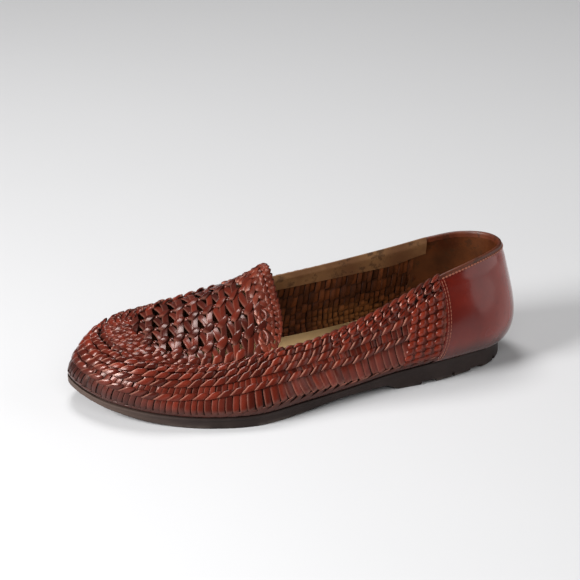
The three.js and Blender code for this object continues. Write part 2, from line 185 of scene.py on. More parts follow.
def foot_line(turn):
    outer, angle = fold(turn)
    x, y = outline(turn, FOOT_HEEL_X, FOOT_TOE_X, "foot_centre", "foot_full")
    z = np.where(outer, section("outer_foot", angle), section("inner_foot", angle)) + SEAT
    return joined(x, y, z)


def top_line(turn):
    outer, angle = fold(turn)
    x, y = outline(turn, TOP_HEEL_X, TOP_TOE_X, "top_centre", "top_full")
    z = np.where(outer, section("outer_top", angle), section("inner_top", angle))
    return joined(x, y, z)


STEP = 2e-3


def outward(turn):
    way = foot_line(turn + STEP) - foot_line(turn - STEP)
    return unit(joined(-way[..., 1], way[..., 0], 0.0))


def wall(turn, rise):
    """Outer face of the side wall: rise is 0 at the sole and 1 at the topline or the apron's edge."""
    angle = fold(turn)[1]
    foot, top, out = foot_line(turn), top_line(turn), outward(turn)
    height = top[..., 2] - foot[..., 2]
    swell = foot + out * section("flare", angle)[..., None]
    swell[..., 2] += FLARE_LIFT * height
    shoulder = top + out * section("bow", angle)[..., None]
    shoulder[..., 2] -= section("drop", angle) * height
    r = np.asarray(rise)[..., None]
    low = foot * (1 - r) ** 3 + 3 * swell * r * (1 - r) ** 2
    return low + 3 * shoulder * r**2 * (1 - r) + top * r**3


def apron(along, across):
    """Outer face of the apron: along from the throat to the toe, across from -1 outside to 1 inside."""
    angle = angle_at(along)
    outer, inner = top_line(angle), top_line(2 * np.pi - angle)
    point = outer + (inner - outer) * ((across + 1) / 2)[..., None]
    tab = TAB_RISE * (1 - smoothstep(along, THROAT_MIDDLE, TAB_FRONT))
    point[..., 2] += section("crown", angle) * (1 - across**2)
    point[..., 2] += tab * np.exp(-((across / TAB_HALF_WIDTH) ** 2))
    return point


def throat_along(across):
    return THROAT_MIDDLE + (THROAT - THROAT_MIDDLE) * np.abs(across) ** CORNER_POWER


def normals(surface, a, b, flip):
    over = surface(a + STEP, b) - surface(a - STEP, b)
    up = surface(a, b + STEP) - surface(a, b - STEP)
    return unit(np.cross(over, up) * flip)


def run_along(points):
    """Length from the first of a line's points to each of them."""
    return np.concatenate([[0], np.cumsum(np.linalg.norm(np.diff(points, axis=0), axis=1))])


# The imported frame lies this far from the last's own origin.
SOLE_ANGLES = np.linspace(0, np.pi, 45)
SOLE_LOW = Vector(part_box("outsole")[0])
SOLE_Y = outline(SOLE_ANGLES, FOOT_HEEL_X, FOOT_TOE_X, "foot_centre", "foot_full", LEDGE)[1]
ORIGIN = np.array([SOLE_LOW.x - (FOOT_TOE_X - LEDGE), SOLE_LOW.y - SOLE_Y.min(), 0.0])

# Length round the wall, from the heel's back over the outer side and the toe, and length up the wall
TURNS = np.linspace(0, 2 * np.pi, 1441)
ROUND = run_along(wall(TURNS, np.full_like(TURNS, GIRTH_RISE)))
WALL_MIDDLE = wall(TURNS, np.full_like(TURNS, 0.5))
WALL_LENGTH = np.linalg.norm(WALL_MIDDLE - foot_line(TURNS), axis=1)
WALL_LENGTH += np.linalg.norm(WALL_MIDDLE - top_line(TURNS), axis=1)
APRON_LENGTH = TOP_HEEL_X - TOP_TOE_X


def turn_of(length):
    return np.interp(np.mod(length, ROUND[-1]), ROUND, TURNS)


def length_of(turn):
    return np.interp(turn, TURNS, ROUND)


def outer_length(along):
    """Length round the wall at a share of the shoe's length on the outer side."""
    return length_of(angle_at(along))


def inner_length(along):
    return length_of(2 * np.pi - angle_at(along))


def on_wall(flat):
    """Flat places, as length round, rise and height over the leather, drawn over the side wall."""
    turn, rise, height = turn_of(flat[..., 0]), flat[..., 1], flat[..., 2]
    normal = normals(wall, turn, np.clip(rise, 0.02, 0.98), -1)
    normal[..., 2] *= smoothstep(rise, 0, 0.12)
    return ORIGIN + wall(turn, rise) + unit(normal) * height[..., None]


def stretch(length, rise):
    """True length of a course for one metre of length round the last; less than 1 where the wall leans in."""
    run = wall(turn_of(length + MM), rise) - wall(turn_of(length - MM), rise)
    return np.linalg.norm(run, axis=-1) / (2 * MM)


def wall_scale(flat):
    """Metres for one unit of each flat direction of the wall."""
    upward = np.interp(turn_of(flat[:, 0]), TURNS, WALL_LENGTH)
    return joined(stretch(flat[:, 0], flat[:, 1]), upward)


def strip_scale(flat):
    """The same for upright strips, which narrow with the wall."""
    return joined(1.0, np.interp(turn_of(flat[:, 0]), TURNS, WALL_LENGTH))


def on_apron(flat):
    """Flat places, as share of the length, share of the width and height, drawn over the apron."""
    along, across, height = flat[..., 0], flat[..., 1], flat[..., 2]
    normal = normals(apron, np.clip(along, 0.55, 0.985), across, 1)
    normal *= np.sign(normal[..., 2:])
    return ORIGIN + apron(along, across) + normal * height[..., None]


def apron_scale(flat):
    """Metres for one unit of each flat direction of the apron."""
    angle = angle_at(flat[:, 0])
    width = section("top_full", angle) * np.sin(angle)
    return joined(APRON_LENGTH, width * CROWN_STRETCH)


# Making of pieces
def add_piece(name, mesh, material, sharp=math.radians(50)):
    """A finished mesh as a piece of the shoe that rides on its body."""
    mesh.name = name
    for polygon in mesh.polygons:
        polygon.use_smooth = True
    mesh.set_sharp_from_angle(angle=sharp)
    mesh.materials.append(material)
    piece = bpy.data.objects.new(name, mesh)
    bpy.context.scene.collection.objects.link(piece)
    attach(piece, BODY)
    return piece


def mesh_of(bm, name):
    mesh = bpy.data.meshes.new(name)
    bm.to_mesh(mesh)
    bm.free()
    return mesh


def strand_template(around, along, capped=True):
    """Strand, round in section, that stands on the Z axis from -1 to 1; its ends are closed if capped."""
    bm = bmesh.new()
    bmesh.ops.create_cone(bm, cap_ends=capped, segments=around, radius1=1, radius2=1, depth=2)
    upright = [e for e in bm.edges if abs(e.verts[0].co.z - e.verts[1].co.z) > 1]
    if along > 1:
        bmesh.ops.subdivide_edges(bm, edges=upright, cuts=along - 1)
    return mesh_of(bm, "template")


def bead_template(subdivisions):
    bm = bmesh.new()
    bmesh.ops.create_icosphere(bm, subdivisions=subdivisions, radius=1)
    return mesh_of(bm, "template")


def places(mesh):
    flat = np.zeros(len(mesh.vertices) * 3)
    mesh.vertices.foreach_get("co", flat)
    return flat.reshape(-1, 3)


def ring_slots(corners, around):
    """Which place in its ring each corner of a strand's template has."""
    turn = np.arctan2(corners[:, 1], corners[:, 0]) / (2 * np.pi)
    return np.round(turn * around).astype(int) % around


def copies(template, count):
    """One mesh that holds a template many times over."""
    bm = bmesh.new()
    for _ in range(count):
        bm.from_mesh(template)
    return mesh_of(bm, "copies")


def put(mesh, points):
    mesh.vertices.foreach_set("co", np.ascontiguousarray(points, dtype=np.float64).ravel())
    mesh.update()


def mark(mesh, name, values):
    """Stores a number for each vertex, for the materials to read."""
    layer = mesh.attributes.new(name, "FLOAT", "POINT")
    layer.data.foreach_set("value", np.ascontiguousarray(values, dtype=np.float32).ravel())


def face_out(mesh):
    bm = bmesh.new()
    bm.from_mesh(mesh)
    bmesh.ops.recalc_face_normals(bm, faces=bm.faces)
    bm.to_mesh(mesh)
    bm.free()


STRAND_SHARP = math.radians(35)
# how much darker the whole apron is made, evenly
APRON_DARKENING = 0.16
PAINTED_SHADE_HEIGHTS = (0.0, 1.0 * MM)  # heights over the wall between which the painted shade of recesses fades out

# Section of a strand, from its left side over its face to its right side: shares of half width and thickness
LACE = np.array([(-1, -0.5), (-1, 0.45), (-0.9, 0.92), (-0.5, 1), (0, 1), (0.5, 1), (0.9, 0.92), (1, 0.45),
                 (1, -0.5), (0, -0.8)])
RINGS = np.array([0, 0.06, 0.2, 0.4, 0.6, 0.8, 0.94, 1])  # shares of its length where it is bent

# Outlines of a strand: its half width, as shares from its start to its end
STRAP = (0.94, 1, 1, 1, 1, 1, 0.94)
LEAF = (0.8, 0.95, 1, 1, 0.95, 0.85, 0.65)
SPINDLE = (0.2, 0.68, 0.94, 1, 0.94, 0.68, 0.2)
POINTED = (0.7, 0.95, 1, 0.97, 0.85, 0.6, 0.2)
LOOP = (0.55, 0.9, 1, 1, 1, 0.9, 0.55)
FIN = (0.9, 1, 1, 1, 0.95, 0.8, 0.5)


def along_strand(values, u):
    """Values spaced evenly along a strand, taken at shares u of its length."""
    place = u * (values.shape[1] - 1)
    i = np.clip(np.floor(place).astype(int), 0, values.shape[1] - 2)
    part = place - i
    return values[:, i] * (1 - part) + values[:, i + 1] * part


class Strands:
    """Rows of like strands, gathered flat and then drawn over a surface as one piece."""

    def __init__(self, surface=on_wall, scale=wall_scale):
        self.surface, self.scale = surface, scale
        self.template = strand_template(len(LACE), len(RINGS) - 1)
        corners = places(self.template)
        self.over, self.high = LACE[ring_slots(corners, len(LACE))].T
        self.along = RINGS[np.round((corners[:, 2] + 1) / 2 * (len(RINGS) - 1)).astype(int)]
        self.flat, self.tones, self.shades, self.edges = [], [], [], []

    def add(self, start, end, outline, half, thick, lift, roll=0.0, bend=0.0, skew=(0.0, 0.0),
            tuck=(0.0, 1.0), dome=0.1, pale=1.0, tip=1.0):
        """Strands from start to end places; lift gives their heights and roll raises the edge on their right.

        Skew draws out the right corner of each end, bend bows the whole strand to its right and dome rounds
        its face. Tuck tells how far each end goes under its neighbours, where shade is painted; shade is also
        painted where the strand lies low over the wall, along its right edge, and along its left one as far
        as pale falls short of 1. A free end shows a pale raw edge as far as tip tells, and the strand's left
        edge is pale as far as pale tells; both pale edges are partly a painted highlight.
        """
        start, end = np.atleast_2d(start), np.atleast_2d(end)
        count = len(start)

        def column(value):
            return np.broadcast_to(np.asarray(value, float), (count,))[:, None]

        scale = self.scale((start + end) / 2)
        way = (end - start) * scale
        length = np.linalg.norm(way, axis=1, keepdims=True)
        way /= length
        side = joined(-way[:, 1], way[:, 0]) / scale
        over, high, u = self.over, self.high, self.along
        width = along_strand(np.array([outline]), u)
        across = over * width * column(half) + column(bend) * np.sin(np.pi * u)
        drawn = over * (column(skew[0]) * (1 - u) + column(skew[1]) * u) / length
        place = start[:, None] + (end - start)[:, None] * (u + drawn)[..., None]
        place = place + across[..., None] * side[:, None]
        levels = np.concatenate([column(value) for value in lift], 1)
        height = along_strand(levels, u) + column(roll) * over + column(thick) * (high - dome * over**2)
        self.flat.append(np.concatenate([place, height[..., None]], -1))
        self.tones.append(np.broadcast_to(chance.random((count, 1)), height.shape))
        ends = tuck[0] * (1 - smoothstep(u, 0.0, 0.25)) + tuck[1] * smoothstep(u, 0.8, 1.0)
        left = smoothstep(-over, 0.8, 1.0)
        right = smoothstep(over, 0.72, 1.0)
        sides = np.maximum((0.5 + 0.35 * pale) * right, 0.6 * (1 - pale) * left)
        # painted shade: where a strand lies low over the wall, at its tucked ends and along its edges
        painted_recess_shade = 1 - smoothstep(np.abs(height), *PAINTED_SHADE_HEIGHTS)
        self.shades.append(np.clip(np.maximum(painted_recess_shade, np.maximum(ends, sides)[None]), 0, 1))
        # pale raw edge on the left side and at a free start, partly a painted highlight on the side the light
        # comes from
        raw_edge_and_highlight = np.maximum(pale * left, (1 - tuck[0]) * tip * (1 - smoothstep(u, 0.0, 0.12)))
        self.edges.append(np.broadcast_to(raw_edge_and_highlight[None] * (high > -0.2), height.shape))

    def piece(self, name, material, slot):
        flat = np.concatenate(self.flat)
        mesh = copies(self.template, len(flat))
        put(mesh, self.surface(flat))
        mark(mesh, "tone", np.concatenate(self.tones))
        burnish = np.full(flat.shape[:2], APRON_DARKENING)
        if self.surface is on_wall:
            burnish = burnish_at(flat[..., 0], flat[..., 1])
        mark(mesh, "burnish", burnish)
        mark(mesh, "shade", np.concatenate(self.shades))
        mark(mesh, "edge", np.concatenate(self.edges))
        face_out(mesh)
        return add_piece(name, mesh, material, STRAND_SHARP)


def sheet(columns, rows, place, thickness):
    """Panel from a grid whose columns and rows are put in place as shares, with its thickness inwards."""
    bm = bmesh.new()
    bmesh.ops.create_grid(bm, x_segments=columns, y_segments=rows, size=0.5)
    flat = np.array([v.co for v in bm.verts]) + 0.5
    outer = place(flat[:, 0], flat[:, 1], np.zeros(len(flat)))
    inner = place(flat[:, 0], flat[:, 1], np.full(len(flat), -thickness))
    for vertex, point in zip(bm.verts, outer):
        vertex.co = point
    rim = [e for e in bm.edges if e.is_boundary]
    top = list(bm.faces)
    made = bmesh.ops.duplicate(bm, geom=list(bm.verts) + list(bm.edges) + top)
    under = [g for g in made["geom"] if isinstance(g, bmesh.types.BMVert)]
    for vertex, point in zip(under, inner):
        vertex.co = point
    lower_rim = [e for e in bm.edges if e.is_boundary and e not in rim]
    bmesh.ops.bridge_loops(bm, edges=rim + lower_rim)
    bmesh.ops.recalc_face_normals(bm, faces=bm.faces)
    return mesh_of(bm, "sheet")


def tube(ring_of, around, along):
    """Closed body whose rings follow a function of a station's share and the place in the ring."""
    mesh = strand_template(around, along)
    flat = places(mesh)
    put(mesh, ring_of((flat[:, 2] + 1) / 2, ring_slots(flat, around)))
    face_out(mesh)
    return mesh


# Materials
WARM_SHINE = (1.0, 0.62, 0.52, 1.0)  # tint of the strips' reflections


class Value:
    """A socket of a material's nodes: sums and products of values add Math nodes."""

    def __init__(self, paint, socket):
        self.paint, self.socket = paint, socket

    def math(self, operation, other, swapped=False):
        pair = (other, self) if swapped else (self, other)
        return self.paint.node("ShaderNodeMath", {"operation": operation}, {0: pair[0], 1: pair[1]})

    def __add__(self, other):
        return self.math("ADD", other)

    __radd__ = __add__

    def __sub__(self, other):
        return self.math("SUBTRACT", other)

    def __rsub__(self, other):
        return self.math("SUBTRACT", other, swapped=True)

    def __mul__(self, other):
        return self.math("MULTIPLY", other)

    __rmul__ = __mul__


class Paint:
    """A material under construction, with one shader at its end."""

    def __init__(self, name):
        self.material = bpy.data.materials.new(name)
        self.material.use_nodes = True
        self.tree = self.material.node_tree
        self.shader = self.tree.nodes["Principled BSDF"]

    def node(self, kind, settings=None, inputs=None, output=0):
        made = self.tree.nodes.new(kind)
        for key, value in (settings or {}).items():
            setattr(made, key, value)
        for key, value in (inputs or {}).items():
            self.feed(made.inputs[key], value)
        return Value(self, made.outputs[output])

    def feed(self, socket, value):
        if isinstance(value, Value):
            self.tree.links.new(value.socket, socket)
        else:
            socket.default_value = value

    def attribute(self, name):
        return self.node("ShaderNodeAttribute", {"attribute_name": name}, output="Fac")

    def object_place(self):
        return self.node("ShaderNodeTexCoord", output="Object")

    def axis(self, name):
        return self.node("ShaderNodeSeparateXYZ", inputs={0: self.object_place()}, output=name)

    def noise(self, scale, detail=3.0, roughness=0.5):
        inputs = {"Vector": self.object_place(), "Scale": scale, "Detail": detail, "Roughness": roughness}
        return self.node("ShaderNodeTexNoise", inputs=inputs)

    def grain(self, scale):
        inputs = {"Vector": self.object_place(), "Scale": scale}
        return self.node("ShaderNodeTexVoronoi", {"feature": "DISTANCE_TO_EDGE"}, inputs)

    def ease(self, value, low, high):
        """0 below low and 1 above high, smooth between."""
        settings = {"interpolation_type": "SMOOTHSTEP"}
        inputs = {"Value": value, "From Min": low, "From Max": high}
        return self.node("ShaderNodeMapRange", settings, inputs)

    def mix(self, share, first, second):
        """First colour at a share of 0 and second at 1; sockets 6, 7 and 2 are the node's colours."""
        inputs = {"Factor": share, 6: first, 7: second}
        return self.node("ShaderNodeMix", {"data_type": "RGBA"}, inputs, output=2)

    def bump(self, height, depth, strength):
        inputs = {"Height": height, "Distance": depth, "Strength": strength}
        return self.node("ShaderNodeBump", inputs=inputs)

    def layers(self, colour, *layers):
        """A colour with others laid over it, each by its own share."""
        for share, other in layers:
            colour = self.mix(share, colour, other)
        return colour

    def done(self, colour, roughness, others=None):
        """The finished material; others holds what its further sockets are given."""
        values = {"Base Color": colour, "Roughness": roughness, **(others or {})}
        for name, value in values.items():
            self.feed(self.shader.inputs[name], value)
        return self.material


def linear(level):
    """Share of light for a level of 0 to 255 on a screen."""
    if level < 11:
        return level / 255 / 12.92
    return ((level / 255 + 0.055) / 1.055) ** 2.4


def rgb(red, green, blue):
    """Colour as picked on a screen, turned to the renderer's linear values."""
    return (linear(red), linear(green), linear(blue), 1.0)


def woven_leather(name, dark, light, coat, dullness):
    """Polished strips, each of its own tone, with pale raw edges partly painted as highlights, burnish,
    and painted shade in recesses and where they tuck in.
    """
    paint = Paint(name)
    tone, shade = paint.attribute("tone"), paint.attribute("shade")
    cloud = paint.noise(160.0, 4.0)
    colour = paint.layers(
        paint.mix(tone, dark, light),
        (paint.ease(cloud, 0.45, 0.75) * 0.5, rgb(70, 20, 11)),
        # pale raw edges, partly a painted highlight on the edges that face the light
        (paint.attribute("edge") * 0.62, rgb(228, 162, 140)),
        (paint.attribute("burnish"), rgb(58, 31, 27)),
        # painted shade in recesses, at tucked ends and along the strips' edges
        (shade * 0.9, rgb(24, 7, 5)),
    )
    roughness = dullness + 0.1 * cloud + 0.06 * tone + 0.3 * shade
    grain = paint.grain(1500.0) * 0.6 + paint.noise(900.0) * 0.8
    return paint.done(colour, roughness, {
        "Normal": paint.bump(grain, 0.12 * MM, 0.5),
        "Coat Weight": coat - coat * shade,
        "Coat Roughness": 0.16,
        "Specular IOR Level": 0.33,
        "Specular Tint": WARM_SHINE,
    })


def counter_leather():
    """Smooth polished leather with painted light, paler and redder towards the heel's back, and burnished
    along the sole.
    """
    paint = Paint("counter_leather")
    x, height = paint.axis("X"), paint.axis("Z")
    cloud = paint.noise(38.0, 5.0)
    streak = paint.noise(210.0, 3.0)
    low = 1 - paint.ease(height + (cloud - 0.5) * 0.012, 0.014, 0.026)
    colour = paint.layers(
        paint.mix(paint.ease(cloud, 0.35, 0.7), rgb(92, 19, 9), rgb(114, 28, 14)),
        # painted light: paler, redder leather towards the heel's back, where light from the right falls
        (paint.ease(x, 0.094, 0.122) * 0.75, rgb(144, 47, 31)),
        (paint.ease(streak, 0.5, 0.8) * 0.35, rgb(92, 20, 10)),
        (low * 0.85, rgb(66, 38, 34)),
    )
    grain = paint.noise(1300.0, 2.0) + paint.grain(1100.0) * 0.4 + paint.noise(55.0, 2.0) * 8.0
    return paint.done(colour, 0.2 + 0.12 * cloud, {
        "Normal": paint.bump(grain, 0.06 * MM, 0.35),
        "Coat Weight": 0.8,
        "Coat Roughness": 0.12,
        "Specular IOR Level": 0.15,
    })


def lining_leather(name, dark, light, roughness):
    """Plain leather with stains."""
    paint = Paint(name)
    cloud = paint.noise(60.0, 4.0)
    fine = paint.noise(1200.0, 2.0)
    stain = paint.ease(paint.noise(120.0, 5.0, 0.65), 0.53, 0.63)
    colour = paint.mix(paint.ease(cloud, 0.3, 0.7), dark, light)
    colour = paint.mix(stain * 0.65, colour, rgb(46, 25, 14))
    return paint.done(colour, roughness + 0.12 * cloud, {
        "Normal": paint.bump(fine, 0.1 * MM, 0.4),
        "Specular IOR Level": 0.4,
    })


def strip_flesh():
    """Unpolished inner side of the strips, each of its own tone, with painted light that makes them paler low
    at the waist.
    """
    paint = Paint("strip_flesh")
    x, height = paint.axis("X"), paint.axis("Z")
    cloud = paint.noise(260.0, 4.0)
    fibre = paint.noise(1400.0, 2.0)
    waist = paint.ease(x, 0.012, 0.036) * (1 - paint.ease(x, 0.05, 0.08))
    painted_waist_light = waist * (1 - paint.ease(height, 0.018, 0.03))
    colour = paint.layers(
        paint.mix(paint.attribute("tone"), rgb(64, 30, 14), rgb(106, 55, 26)),
        (paint.ease(cloud, 0.4, 0.75) * 0.6, rgb(58, 30, 16)),
        # painted light: a paler pool low on the inner wall at the waist
        (painted_waist_light * 0.6, rgb(158, 102, 54)),
        (paint.attribute("shade") * 0.7, rgb(24, 11, 6)),
    )
    return paint.done(colour, 0.55 + 0.2 * cloud, {
        "Normal": paint.bump(fibre, 0.2 * MM, 0.5),
        "Specular IOR Level": 0.3,
    })


# painted shade: the wall behind the weave is very dark to stand for the shade deep between the strips
def painted_shade_backing():
    paint = Paint("painted_shade_backing")
    cloud = paint.noise(120.0, 3.0)
    return paint.done(paint.mix(cloud, rgb(26, 10, 7), rgb(44, 18, 12)), 0.6 + 0.2 * cloud)


def sole_rubber():
    """Dark rubber, paler towards the toe and rubbed grey along the floor."""
    paint = Paint("sole_rubber")
    x, height = paint.axis("X"), paint.axis("Z")
    cloud = paint.noise(70.0, 5.0)
    speck = paint.noise(900.0, 2.0)
    toe = 1 - paint.ease(x, -0.13, -0.075)
    rub = (1 - paint.ease(height, 0.0, 0.003)) * paint.ease(cloud, 0.4, 0.6)
    colour = paint.layers(
        paint.mix(paint.ease(cloud, 0.3, 0.75), rgb(36, 26, 23), rgb(50, 39, 36)),
        (toe * 0.8, rgb(88, 72, 64)),
        (rub * 0.4, rgb(110, 100, 92)),
    )
    return paint.done(colour, 0.5 + 0.2 * cloud, {
        "Normal": paint.bump(speck, 0.15 * MM, 0.5),
        "Specular IOR Level": 0.25,
    })


def sock_leather():
    """Tan leather, worn darker under the heel."""
    paint = Paint("sock_leather")
    cloud = paint.noise(45.0, 5.0)
    fibre = paint.noise(700.0, 3.0)
    worn = paint.ease(paint.axis("X"), 0.05, 0.11)
    colour = paint.mix(paint.ease(cloud, 0.3, 0.7), rgb(192, 156, 106), rgb(216, 178, 126))
    colour = paint.mix(worn * 0.5, colour, rgb(126, 90, 54))
    return paint.done(colour, 0.6 + 0.15 * cloud, {
        "Normal": paint.bump(fibre, 0.1 * MM, 0.5),
        "Specular IOR Level": 0.35,
    })


def thread():
    paint = Paint("thread")
    twist = paint.noise(2500.0, 1.0)
    return paint.done(paint.mix(twist, rgb(108, 50, 36), rgb(172, 106, 80)), 0.55 + 0.1 * twist)


WOVEN = woven_leather("woven_leather", rgb(66, 18, 10), rgb(120, 41, 25), 0.24, 0.19)
APRON_LEATHER = woven_leather("apron_leather", rgb(58, 15, 8), rgb(106, 35, 20), 0.34, 0.17)
WORN = woven_leather("worn_woven_leather", rgb(80, 27, 15), rgb(116, 45, 27), 0.1, 0.3)
COUNTER = counter_leather()
BACKING = painted_shade_backing()
RUBBER = sole_rubber()
SOCK = sock_leather()
THREAD = thread()
INNER_STRIP = strip_flesh()
BINDING = lining_leather("binding_leather", rgb(98, 63, 39), rgb(128, 92, 59), 0.6)
RIM = lining_leather("rim_leather", rgb(72, 31, 17), rgb(102, 50, 28), 0.34)
HEEL_LINING = lining_leather("heel_lining_leather", rgb(57, 25, 11), rgb(90, 46, 21), 0.3)


# Landmarks, as lengths round the wall
OUTER_START = outer_length(STRIPS_FROM)
INNER_END = inner_length(STRIPS_TO)
COUNTER_START = outer_length(COUNTER_OUTER[0])
COUNTER_END = inner_length(COUNTER_INNER[0])
LOOPS_END = outer_length(0.52)  # where the loops of the upper rows give way to leaves
TOE_LENGTH = length_of(np.pi)

# Outsole and insole
SOLE_LENGTH = FOOT_HEEL_X - FOOT_TOE_X + 2 * LEDGE
SOLE_SECTIONS = 110
SOLE_TIP = 0.004  # angle of the first and last sections
SOLE_SHARP = math.radians(38)
INSOLE_SECTIONS = 70
INSOLE_TIP = 0.02


def tread_height(x, side):
    """Height of the tread over the floor; side runs from -1 at the outer edge to 1 at the inner edge."""
    sprung = np.clip(TOE_SPRING_X - x, 0, None) / (TOE_SPRING_X - FOOT_TOE_X + LEDGE)
    heel_end = FOOT_HEEL_X - HEEL_BEVEL_RUN
    bevelled = np.clip(x - heel_end, 0, None) / (FOOT_HEEL_X + LEDGE - heel_end)
    rise = smoothstep(x, FOREFOOT_FLAT_X, BREAST_X - BREAST_RUN - WAIST_RUN)
    fall = 1 - smoothstep(x, BREAST_X - BREAST_RUN, BREAST_X)
    arch = rise * fall * (ARCH_CLEARANCE + ARCH_INNER_LIFT * (side + 1) / 2)
    groove = np.zeros_like(x)
    for middle, width, depth in HEEL_GROOVES:
        groove = np.maximum(groove, depth * (np.abs(x - middle) < width / 2))
    return TOE_SPRING * sprung**TOE_SPRING_POWER + HEEL_BEVEL * bevelled**2 + arch + groove


def sole_top(angle, side):
    outer, inner = section("outer_foot", angle), section("inner_foot", angle)
    return outer + (inner - outer) * (side + 1) / 2


def sole_angle(x):
    """Angle of the sole's section at a place along it."""
    return angle_at((FOOT_HEEL_X + LEDGE - x) / SOLE_LENGTH)


def half_width(angle, grow):
    """Half the width of the foot's outline, grown to all sides."""
    return (section("foot_full", angle) + grow) * np.sin(angle)


# Ring of the sole's section: side of the shoe, inset in shares of the draw and the lip, and height, where
# 0 to 1 is the tread's rounded edge, 1 to 2 the side, and 2 to 3 the lip
SOLE_RING = [
    (0.0, 1, 0, 0.0), (-0.45, 1, 0, 0.0), (-0.9, 1, 0, 0.0), (-1, 1, 0, 0.0), (-1, 0.45, 0.4, 0.3),
    (-1, 0, 1, 1.0), (-1, 0, 1, 1.42), (-1, 0, 1.5, 1.47), (-1, 0, 1, 1.52), (-1, 0, 1, 1.93),
    (-1, 0, 1.7, 2.0), (-1, 0, 0.15, 2.2), (-1, 0, 0, 2.6), (-1, 0, 0.25, 2.9), (-1, 0, 0.9, 3.0),
    (-0.9, 0, 0, 3.0), (-0.45, 0, 0, 3.0), (0.0, 0, 0, 3.0),
]
SOLE_RING += [(-side, draw, lip, height) for side, draw, lip, height in SOLE_RING[-2:0:-1]]


def sole_stations():
    """Angles of the sole's sections, crowded at the heel's breast and at each groove's walls."""
    marks = [BREAST_X - BREAST_RUN * share for share in (0, 0.25, 0.5, 0.75, 1)]
    for middle, width, _ in HEEL_GROOVES:
        marks += [middle + sign * width / 2 + step for sign in (-1, 1) for step in (-0.1 * MM, 0.1 * MM)]
    even = np.linspace(SOLE_TIP, np.pi - SOLE_TIP, SOLE_SECTIONS)
    return np.sort(np.concatenate([even, sole_angle(np.array(marks))]))


def sole_ring(share, slot):
    stations = sole_stations()
    angle = stations[np.round(share * (len(stations) - 1)).astype(int)]
    side, draw, lip, level = np.array(SOLE_RING)[slot].T
    x = outline(angle, FOOT_HEEL_X, FOOT_TOE_X, "foot_centre", "foot_full", LEDGE)[0]
    half = half_width(angle, LEDGE)
    tuck = draw * (EDGE_ROUND + HEEL_TUCK * smoothstep(x, BREAST_X, FOOT_HEEL_X))
    inset = np.minimum(tuck + lip * LIP, half * 0.6)
    y = section("foot_centre", angle) + side * (half - inset * np.abs(side))
    tread, shoulder = tread_height(x, side), sole_top(angle, side) - LIP_HEIGHT
    low = tread + np.minimum(EDGE_ROUND, (shoulder - tread) * 0.4)
    z = np.where(level <= 1, tread + (low - tread) * level, low + (shoulder - low) * (level - 1))
    z = np.where(level > 2, shoulder + LIP_HEIGHT * (level - 2), z)
    drawn = tuck * np.abs(np.cos(angle)) ** 4
    return ORIGIN + joined(x - np.sign(x) * drawn, y, z)


def outsole():
    mesh = tube(sole_ring, len(SOLE_RING), len(sole_stations()) - 1)
    piece = add_piece("rubber_outsole", mesh, RUBBER, SOLE_SHARP)
    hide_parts("outsole")


# Ring of the insole's section: side of the shoe, and height as a share of the thickness
INSOLE_RING = [(side, 0.0) for side in (-1, -0.5, 0, 0.5, 1)] + [(1, 0.7), (0.985, 1.0)]
INSOLE_RING += [(side, 1.0) for side in (0.8, 0.4, 0, -0.4, -0.8)] + [(-0.985, 1.0), (-1, 0.7)]


def insole_ring(share, slot):
    angle = INSOLE_TIP + (np.pi - 2 * INSOLE_TIP) * share
    side, level = np.array(INSOLE_RING)[slot].T
    x = outline(angle, FOOT_HEEL_X, FOOT_TOE_X, "foot_centre", "foot_full", -INSOLE_INSET)[0]
    y = section("foot_centre", angle) + side * half_width(angle, -INSOLE_INSET)
    under = sole_angle(x)
    sole_side = (y - section("foot_centre", under)) / half_width(under, LEDGE)
    z = sole_top(under, sole_side) + INSOLE_GAP
    return ORIGIN + joined(x, y, z + INSOLE_WALL * level)


def insole():
    mesh = tube(insole_ring, len(INSOLE_RING), INSOLE_SECTIONS)
    piece = add_piece("sock_insole", mesh, SOCK)
    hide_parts("insole")


# Heel counter and its stitches
SKIVED_FROM = 0.86  # rise over which the counter thins to half
COUNTER_FACE = COUNTER_GAP + COUNTER_WALL
STITCH_INSETS = (1.2 * MM, 2.9 * MM)
STITCH_RISES = np.linspace(0.06, 0.96, 25)
STITCH_REACH = 0.42  # each way from a stitch's middle, as a share of the pitch
TOP_STITCH_PITCH = 2.3 * MM
TOP_STITCH_LENGTH = 1.9 * MM
TOP_STITCH_CLEAR = 5 * MM
TOP_STITCH_RISE = 0.972


def counter_edge(edge, rise):
    return edge[0] - edge[1] * np.abs(np.sin(np.pi * np.clip(rise, 0, 1))) ** HOLLOW_POWER


def counter_length(share, rise):
    """Length round the wall at a share of the counter: -1 at its inner front edge, 1 at its outer one."""
    inner, outer = angle_at(counter_edge(COUNTER_INNER, rise)), angle_at(counter_edge(COUNTER_OUTER, rise))
    turn = np.where(share < 0, share * inner, share * outer)
    return length_of(np.mod(turn, 2 * np.pi))


def counter_panel():
    def place(u, v, height):
        skived = 1 - 0.5 * smoothstep(v, SKIVED_FROM, 1.0)
        return on_wall(joined(counter_length(2 * u - 1, v), v, (COUNTER_FACE + height) * skived))

    piece = add_piece("counter_panel", sheet(120, 44, place, COUNTER_WALL), COUNTER)
    rim = piece.modifiers.new("rounded rim", "BEVEL")
    rim.width = 0.45 * MM
    rim.segments = 3
    rim.limit_method = "ANGLE"
    rim.angle_limit = math.radians(50)
    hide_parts("heel_counter")


